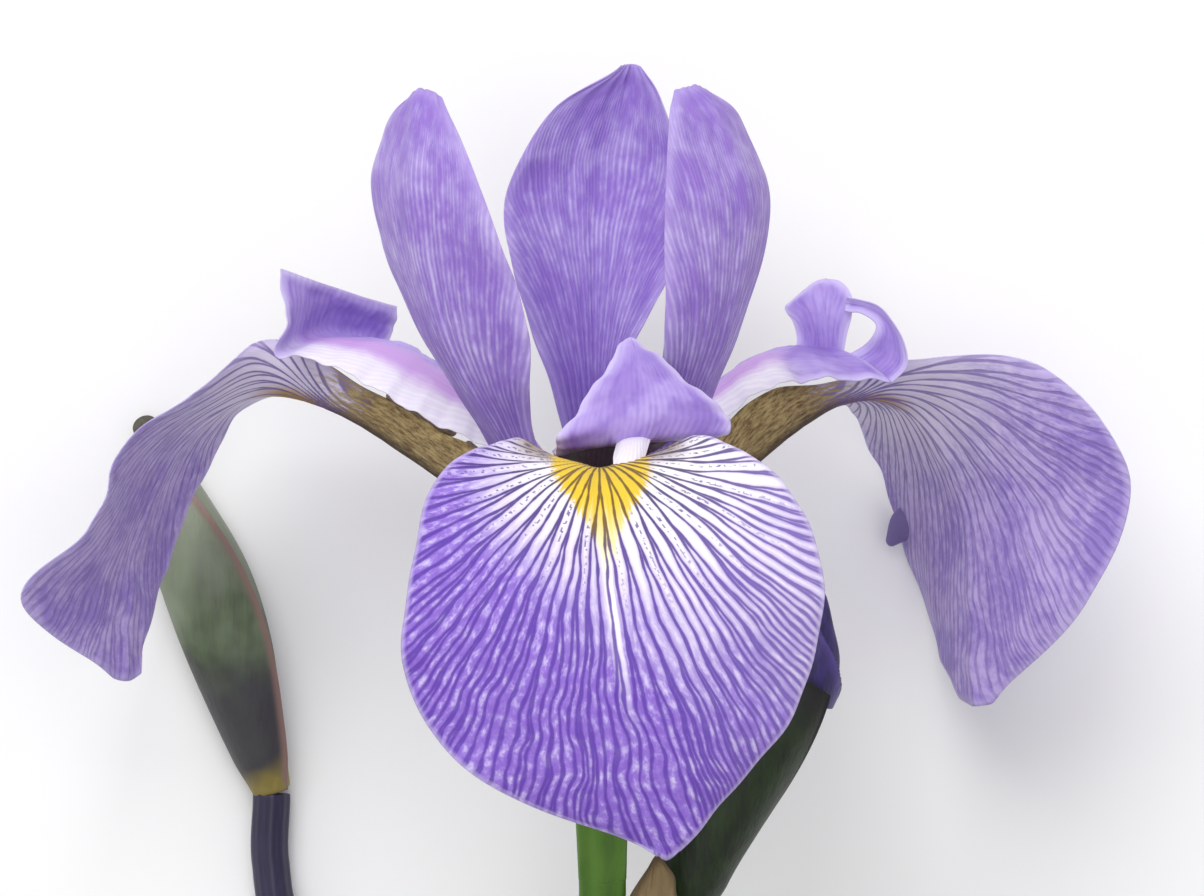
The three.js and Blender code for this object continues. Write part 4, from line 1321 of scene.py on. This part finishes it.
@dataclass
class Petal:
    """A petal's fine surface: its rails, with a ruffled margin, a keel and soft pleats along its veins."""

    rails: Rails
    upper: int  # 1 where the surface's front is the petal's upper face
    rows: int = 200
    columns: int = 111
    half: float = 0.17
    ruffle: float = 0.2
    ruffle_mm: float = 12.0
    keel: float = 0.25
    pleat: float = 0.04
    apex: float = 0.0  # millimetres along the midrib from which the veins fan out
    veins: float = 13.0  # how many veins there are from the midrib to an edge
    phase: float = 0.0  # radians by which the ruffle is shifted
    relief_mm: tuple[float, float] = (6.0, 16.0)  # from the throat: ruffle, keel and pleats grow in between
    ruffle_in: float = 2.6  # how far in from the margin the ruffle fades
    keel_wide: float = 1.1
    rim_wide: float = 0.7  # the width over which the wall thins to its margin

    def fan(self, w: np.ndarray, s: np.ndarray, v: np.ndarray) -> tuple[np.ndarray, ...]:
        """Number the veins: x = v times the veins, which spread to leave through the margin.

        Args:
            w: Millimetres to the side of the midrib.
            s: Millimetres along it from the apex.
            v: The share across, from -1 to 1.

        Returns:
            Vein number, millimetres out, and millimetres for each vein.
        """
        spread = 1 - 0.6 * ease(s, 0.3 * s.max(), s.max())
        half_wide = np.abs(w[:, [0, -1]]).mean(1)[:, None]
        x = self.veins * v[None] * spread
        return x, s + np.zeros_like(w), half_wide / (self.veins * spread) + np.zeros_like(w)

    def skin(self) -> Skin:
        """Make the petal's closed wall, with the maps and marks that its finish reads.

        The ruffle is a wave, sin(2 pi s / ruffle_mm + side) and 0.4 of one 2.35 times as fast, that fades as
        exp(-margin / ruffle_in). The keel is exp(-(w / keel_wide) squared), and the pleats are cos(2 pi x).

        Returns:
            The wall.
        """
        u = even_steps(self.rails.midrib, self.rows)
        v = crowded(self.columns)
        grid = self.rails.surface(u, v)
        middle = self.columns // 2
        wide = np.cumsum(length(np.diff(grid, axis=1)), axis=1)
        w = np.concatenate([np.zeros((self.rows, 1)), wide], axis=1)
        w = w - w[:, middle : middle + 1]
        long = np.cumsum(length(np.diff(grid[:, middle], axis=0)))
        s = np.concatenate([[0], long])[:, None] - self.apex
        margin = margin_of(grid)
        x, r, pitch = self.fan(w, s, v)
        start = ease(s + self.apex, *self.relief_mm)
        side = np.sign(v)[None] * 1.3 + self.phase
        wave = np.sin(2 * np.pi * s / self.ruffle_mm + side)
        wave = wave + 0.4 * np.sin(4.7 * np.pi * s / self.ruffle_mm + 2 * side)
        offset = self.ruffle * start * np.exp(-margin / self.ruffle_in) * wave
        offset = offset - self.upper * self.keel * np.exp(-((w / self.keel_wide) ** 2)) * start
        offset = offset + self.upper * self.pleat * np.cos(2 * np.pi * x) * start
        half = self.half * (0.3 + 0.7 * ease(margin, 0, self.rim_wide))
        maps = {"fan": np.stack([x, r], -1), "blade": np.stack([w, s + np.zeros_like(w)], -1)}
        marks = {"pitch": pitch, "margin": margin}
        marks |= self.extra_marks(s, v, np.zeros_like(w))
        return wall(grid, offset, half, maps, marks, self.upper)

    def extra_marks(self, s: np.ndarray, v: np.ndarray, zero: np.ndarray) -> dict[str, np.ndarray]:
        """Give the marks that only some petals have."""
        return {}


@dataclass
class Fall(Petal):
    """A fall: veins fan out from the signal at the head of its blade."""

    step: float = 0.13  # radians between two veins at the signal
    spread_mm: float = 38.0  # the distance over which that angle doubles, as the veins curve outwards
    least: float = 0.9  # millimetres: the nearest that s comes to the apex

    def fan(self, w: np.ndarray, s: np.ndarray, v: np.ndarray) -> tuple[np.ndarray, ...]:
        """Number the veins by their angle at the apex: r is the root of w2 + s2, and x = atan(w / s) / gain.

        The gain is step (1 + r / spread). Behind the apex s is held just above 0, so that the veins of the
        haft run side by side.

        Args:
            w: Millimetres to the side of the midrib.
            s: Millimetres along it from the apex.
            v: The share across, which a fall does not need.

        Returns:
            Vein number, millimetres out, and millimetres for each vein.
        """
        ahead = self.least + np.logaddexp(0, s - self.least)
        r = np.hypot(w, ahead)
        gain = self.step * (1 + r / self.spread_mm)
        return np.arctan2(w, ahead) / gain, r, gain * r


@dataclass
class StyleArm(Petal):
    """A style arm or a lobe of its crest."""

    crest_from: float = 0.75  # the share of its length at which the crest begins
    shade_band: float = 0.93  # the share at which a band of painted shade crosses the crest, under its rolled rim
    # how dark that painted shade gets
    shade_depth: float = 0.5
    throat: float = 0.0  # how brown the arm's end is where it shuts the throat
    lip: bool = False  # whether it is the pale lip below the crest

    def extra_marks(self, s: np.ndarray, v: np.ndarray, zero: np.ndarray) -> dict[str, np.ndarray]:
        """Mark how far across the arm a point is, from 0 to 1, and where the crest, the painted shade under
        the crest's rim (mark fold) and the throat are.

        Args:
            s: Millimetres along the midrib from the apex.
            v: The share across, from -1 to 1.
            zero: Noughts, as rows and columns, which give every mark its shape.

        Returns:
            The marks.
        """
        share = (s + self.apex) / (s + self.apex).max()
        crest = ease(share, self.crest_from, self.crest_from + 0.12)
        past = ease(share, self.shade_band + 0.01, self.shade_band + 0.05)
        shade_band = ease(share, self.shade_band - 0.06, self.shade_band) * (1 - past)
        return {
            "across": (1 - v[None]) / 2 + zero + self.lip,
            "crest": crest * (not self.lip) + zero,
            # painted shade in the concave fold under the crest's rolled rim
            "fold": shade_band * ease(v[None], -0.7, 0.1) * self.shade_depth,
            "throat": self.throat * (1 - crest) + zero,
        }


@dataclass
class Falls:
    """The three falls."""

    finish: FallFinish = field(default_factory=FallFinish)
    curl: Route = Route(
        ((25.9, -8.5, -33.8), (26.8, -7.4, -33.1), (27.5, -6.2, -32.4), (28, -4.8, -32)),
        (0.5, 1.0, 1.1, 0.5),
    )
    apex: dict[str, float] = field(default_factory=lambda: {"front": 21.5, "left": 28.0, "right": 27.0})

    def build(self) -> None:
        """Make and dress the falls."""
        material = self.finish.build()
        for side in (Side.FRONT, Side.LEFT, Side.RIGHT):
            name = side.value
            fall = Fall(
                FALLS[name], upper=1 if side is Side.FRONT else -1, rows=205, columns=105,
                apex=self.apex[name], phase=len(name), keel=0.35,
            )
            skins = [fall.skin()] + ([self.rolled()] if side is Side.RIGHT else [])
            show(Skin.joined(skins).place(f"{name}_fall", material), f"fall_{name}")

    def rolled(self) -> Skin:
        """Make the nick of margin that has rolled up, inked all over like a vein.

        Returns:
            The closed roll, with the maps and marks of a fall.
        """
        skin = tube(self.curl, 60, 40, curled, ends=(0.5, 0.6))
        rows, corners = len(skin.points), len(skin.maps["skin"])
        skin.maps = {"fan": np.tile([0.0, 13.0], (corners, 1)), "blade": np.tile([20.0, 10.0], (corners, 1))}
        skin.marks = {"pitch": np.full(rows, 0.01), "margin": np.full(rows, INLAND), "upper": np.ones(rows)}
        return skin


@dataclass
class Standards:
    """The three standards."""

    finish: StandardFinish = field(default_factory=StandardFinish)

    def build(self) -> None:
        """Make and dress the standards."""
        material = self.finish.build()
        for side in (Side.LEFT, Side.BACK, Side.RIGHT):
            name = side.value
            petal = Petal(
                STANDARDS[name], upper=-1 if side is Side.BACK else 1, rows=170, columns=91,
                ruffle=0.2, ruffle_mm=16.0, keel=0.3, pleat=0.05, veins=7.0, phase=2 * len(name),
            )
            show(petal.skin().place(f"{name}_standard", material), f"standard_{name}")


@dataclass
class Styles:
    """The three style arms with their crests."""

    finish: StyleFinish = field(default_factory=StyleFinish)
    crest_from: dict[str, float] = field(default_factory=lambda: {"front": 0.56, "left": 0.8, "right": 0.72})

    def build(self) -> None:
        """Make and dress the style arms."""
        material = self.finish.build()
        for side in (Side.FRONT, Side.LEFT, Side.RIGHT):
            name = side.value
            upper = -1 if side is Side.LEFT else 1
            parts = [
                StyleArm(
                    rails, upper=upper, rows=130 if k == 0 else 60, columns=61, ruffle=0.2, ruffle_mm=3.6,
                    keel=0.1, pleat=0.02, veins=6.0, crest_from=self.crest_from[name] if k == 0 else -0.2,
                    throat=0.9 if side is Side.FRONT and k == 0 else 0.0,
                    lip=side is Side.FRONT and k > 0,
                ).skin()
                for k, rails in enumerate(STYLES[name])
            ]
            show(Skin.joined(parts).place(f"{name}_style", material), f"style_{name}")


@dataclass
class Stamens:
    """The three stamens, each a filament with its anther, hidden under the style arms."""

    finish: PlainFinish = PlainFinish("Iris stamen", "#e9e2cf", "#f6f0e2", 0.6, 0.6)
    pollen: PlainFinish = PlainFinish("Iris anther", "#cfc3a0", "#efe6c8", 0.3, 0.8)

    def build(self) -> None:
        """Make and dress the stamens."""
        filament, anther = self.finish.build(), self.pollen.build()
        for side, (stem, head) in STAMENS.items():
            show(tube(stem, 40, 20, None).place(f"{side}_filament", filament), f"filament_{side}")
            lobes = tube(head, 60, 32, two_celled)
            show(lobes.place(f"{side}_anther", anther), f"anther_{side}")


@dataclass
class Stalks:
    """The tube under the flower, the ovary, its stalk, the main stalk and the branch."""

    green: StalkFinish = StalkFinish("Iris ovary skin", "#50801f", "#31560f", "#6c9438", 6)
    stem: StalkFinish = StalkFinish("Iris stalk skin", "#5c8236", "#3c5c20", "#86a45c", 14)
    purple: StalkFinish = StalkFinish("Purple-flushed iris stalk skin", "#2f2b47", "#1c1732", "#3f3a56", 10)

    def build(self) -> None:
        """Make and dress the stalks."""
        green, stem, purple = self.green.build(), self.stem.build(), self.purple.build()
        for name, node, route, rings, shape, stretch, material, slot in (
            ("floral_tube", "perianth_tube", TUBE, 60, ribbed(6, 0.05), (1.5, 0.55), green, "ovary"),
            ("ribbed_ovary", "ovary", OVARY, 110, ribbed(6, 0.07), (0.55, 0.55), green, "ovary"),
            ("flower_pedicel", "pedicel", PEDICEL, 120, ribbed(6, 0.06), (0.55, 1.0), green, "ovary"),
            ("cut_stem", "main_stem", STEM, 160, ribbed(14, 0.012), (1.0, 0.0), stem, "stem"),
            ("bud_branch", "branch_stem", BRANCH, 180, ribbed(10, 0.015), (1.2, 0.4), purple, "purple_stem"),
        ):
            skin = tube(route, rings, 84, shape, ends=(0.1, 0.1), stretch=stretch)
            show(skin.place(name, material), node)


def marked(skin: Skin, whole: float) -> Skin:
    """Give a tube the map and marks of a bract: blade, margin and share.

    Args:
        skin: The tube, whose map "skin" holds turns and millimetres along.
        whole: Its length in millimetres.

    Returns:
        The same tube.
    """
    rows = len(skin.points)
    sides = skin.corners[1][:, 0].size
    along = np.repeat(np.unique(skin.maps["skin"][:, 1]), sides)
    along = np.concatenate([along, [0, whole]])[:rows]
    skin.marks["margin"] = np.full(rows, INLAND)
    skin.marks["share"] = along / whole
    skin.maps["blade"] = skin.maps["skin"]
    return skin


@dataclass
class Buds:
    """The two buds: furled petals or a closed tip, in a spathe with an outer valve."""

    left: SpatheFinish = SpatheFinish(
        "Green spathe skin", "#4c6038", "#2f3d26", "#76846a", "#8a6c66", "#8c9078", foot="#8c7c3c",
        # high is painted light: the upper part lighter where the light from above falls.
        low="#3a3440", high="#8c9480",
    )
    # The right spathe lies in shade: its colours are its own dark green, darkened all over with painted
    # shade.
    right: SpatheFinish = SpatheFinish(
        "Dark spathe skin with painted shade", "#1f3410", "#0f180a", "#2d4418", "#141110", "#1b1a1c"
    )
    petals: FurledFinish = FurledFinish()
    tip: PlainFinish = PlainFinish("Dry bud tip", "#2a2824", "#6c6858", 0.8, 0.8)
    valve_off: float = 0.6  # millimetres between a valve and its spathe
    valve_reach: float = 1.5  # radians from a valve's keel to its edge
    valve_end: float = 0.985  # the share of the route at which it ends
    valve_mm: float = 26.0  # its length, for the map "blade"
    valve_half: float = 0.2  # half its wall
    petal_sides: int = 120

    def valve(self, route: Route, turn: float, start: float) -> Skin:
        """Make an outer valve: a wall that stands off the spathe and narrows to its tip.

        Its angle at v is turn + v reach (1 - 0.75 u cubed), at the spathe's radius and `valve_off` more. It
        closes in on the spathe at its foot, at its tip and along its edges.

        Args:
            route: The spathe's route.
            turn: The angle of the valve's keel about it.
            start: The share of the route at which it begins.

        Returns:
            The valve.
        """
        u = np.linspace(0, 1, 130)
        v = crowded(71)
        t = start + u * (self.valve_end - start)
        centre = smooth_line(route.path, t)
        up, out = axes_of(route.path, t, step=1e-4)[1:]
        angle = (turn + v[None] * self.valve_reach * (1 - 0.75 * u[:, None] ** 3))[..., None]
        off = self.valve_off * ease(u, -0.1, 0.5) * (1 - 0.75 * ease(u, 0.6, 1))
        off = off - 0.3 * (1 - ease(u, 0, 0.12))
        radius = (smooth_line(route.radii, t)[:, 0] + off)[:, None]
        spoke = up[:, None] * np.cos(angle) + out[:, None] * np.sin(angle)
        grid = centre[:, None] + radius[..., None] * spoke
        margin = margin_of(grid)
        w = v[None] * radius * self.valve_reach
        s = (u * self.valve_mm)[:, None] + 0 * w
        offset = -0.35 * np.exp(-margin / 0.5)
        half = self.valve_half * (0.35 + 0.65 * ease(margin, 0, 0.8))
        marks = {"margin": margin, "share": u[:, None] + 0 * w}
        return wall(grid, offset, half, {"blade": np.stack([w, s], -1)}, marks, 1)

    def build(self) -> None:
        """Make and dress the buds."""
        green, dark = self.left.build(), self.right.build()
        violet, dry = self.petals.build(), self.tip.build()
        for name, node, route, material, slot, whole in (
            ("left_bud_spathe", "bud_left_spathe", LEFT_SPATHE, green, "green_spathe", 34.0),
            ("right_bud_spathe", "bud_right_spathe", RIGHT_SPATHE, dark, "dark_spathe", 37.0),
        ):
            skin = marked(tube(route, 150, 96, keeled, ends=(0.3, 2.6), stretch=(0.2, 0.0)), whole)
            skin.maps = {"blade": skin.maps["blade"]}
            show(skin.place(name, material), node)
        for name, node, route, turn, start, material, slot in (
            ("left_bud_valve", "bud_left_valve", LEFT_SPATHE, -0.5, 0.0, green, "green_spathe"),
            ("right_bud_valve", "bud_right_valve", RIGHT_SPATHE, 0.4, 0.45, dark, "dark_spathe"),
        ):
            show(self.valve(route, turn, start).place(name, material), node)
        show(self.rolled_petals().place("right_bud_petals", violet), "bud_right_petals")
        tip = tube(LEFT_TIP, 40, 40, ribbed(5, 0.12), ends=(0.3, 0.9))
        show(tip.place("left_bud_tip", dry), "bud_left_tip")

    def rolled_petals(self) -> Skin:
        """Make the right bud's petals: a tube with the mark "fold", 1 along each petal's rolled edge.

        Returns:
            The closed tube.
        """
        sides = self.petal_sides
        skin = tube(RIGHT_PETALS, 110, sides, furled, ends=(0.2, 1.2), stretch=(2.4, 0.0))
        rings = len(skin.points) // sides
        turns = np.tile(np.arange(sides) / sides, rings)
        along = np.repeat(np.linspace(0, 1, rings), sides)
        skin.marks["fold"] = np.concatenate([overlap(along, turns) ** 6, [0, 0]])
        return skin


@dataclass
class Bract(Petal):
    """A bract, whose finish also reads the share of its length."""

    def extra_marks(self, s: np.ndarray, v: np.ndarray, zero: np.ndarray) -> dict[str, np.ndarray]:
        """Mark the share of the length."""
        return {"share": (s + self.apex) / (s + self.apex).max() + zero}


@dataclass
class Bracts:
    """The valves at the head of the stalk and the bract under the branch."""

    papery: SpatheFinish = SpatheFinish(
        "Papery spathe", "#a58a5e", "#6c5a3c", "#b6a278", "#5f4e34", "#8b7750", roughness=0.7
    )
    leafy: SpatheFinish = SpatheFinish(
        "Leafy bract skin", "#75875a", "#55663c", "#98a67c", "#a09468", "#8c9468"
    )

    def build(self) -> None:
        """Make and dress the bracts."""
        papery, leafy = self.papery.build(), self.leafy.build()
        for name, rails in BRACTS.items():
            front = name == "spathe_front"
            petal = Bract(
                rails, upper=1, rows=110, columns=71, half=0.16, ruffle=0.25, ruffle_mm=7.0, keel=-0.25,
                pleat=0.05, veins=7.0,
            )
            show(petal.skin().place(f"{name}_valve", papery if front else leafy), name)


@dataclass
class Studio:
    """The camera, the lights and the floor, none of them part of the flower."""

    eye: tuple[float, float] = (0.17, 0.17)  # millimetres aside from the flower's axis and its throat
    distance: float = 600.0  # millimetres from the camera to the plane of the axis
    frame_width: float = 102.34  # millimetres across that plane
    sensor: float = 36.0
    sky: float = 0.52  # the strength of the plain white sky
    floor_half: float = 3.0  # metres from the floor's middle to its edge

    def build(self) -> None:
        """Set up the camera, the lights, the sky and the floor."""
        scene = bpy.context.scene
        camera = bpy.data.cameras.new("camera")
        camera.sensor_width = self.sensor
        camera.lens = self.sensor * self.distance / self.frame_width
        eye = bpy.data.objects.new("camera", camera)
        eye.location = np.array([
            ORIGIN_SHIFT[0] + self.eye[0], ORIGIN_SHIFT[1] + self.eye[1], AXIS_HEIGHT + self.distance,
        ]) * MM
        scene.collection.objects.link(eye)
        scene.camera = eye
        scene.view_settings.view_transform = "Standard"
        world = bpy.data.worlds.new("studio")
        world.use_nodes = True
        background = world.node_tree.nodes["Background"].inputs
        background["Color"].default_value = (1.0, 1.0, 1.0, 1.0)
        background["Strength"].default_value = self.sky
        scene.world = world
        for name, place, turn, size, watts in (
            ("window", (-0.25, 0.65, 0.75), (-0.75, -0.3, 0.0), 0.7, 6.6),
            ("overhead", (0.1, 0.1, 1.1), (0.0, 0.1, 0.0), 0.9, 2.9),
        ):
            light = bpy.data.lights.new(name, "AREA")
            light.size = size
            light.energy = watts
            lamp = bpy.data.objects.new(name, light)
            lamp.location = place
            lamp.rotation_euler = turn
            scene.collection.objects.link(lamp)
        floor = bpy.data.meshes.new("floor")
        half = self.floor_half
        corners = [(-half, -half, 0), (half, -half, 0), (half, half, 0), (-half, half, 0)]
        floor.from_pydata(corners, [], [(0, 1, 2, 3)])
        floor.materials.append(PlainFinish("Matt white table", "#f4f4f4", "#fafafa", 40.0, 0.9).build())
        table = bpy.data.objects.new("table", floor)
        scene.collection.objects.link(table)


def main() -> None:
    """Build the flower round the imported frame."""
    logging.basicConfig(level=logging.INFO, format="%(message)s")
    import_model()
    Studio().build()
    for part in (Falls(), Standards(), Styles(), Stamens(), Stalks(), Buds(), Bracts()):
        part.build()
        LOG.info("%s done", type(part).__name__)


if __name__ == "__main__":
    main()
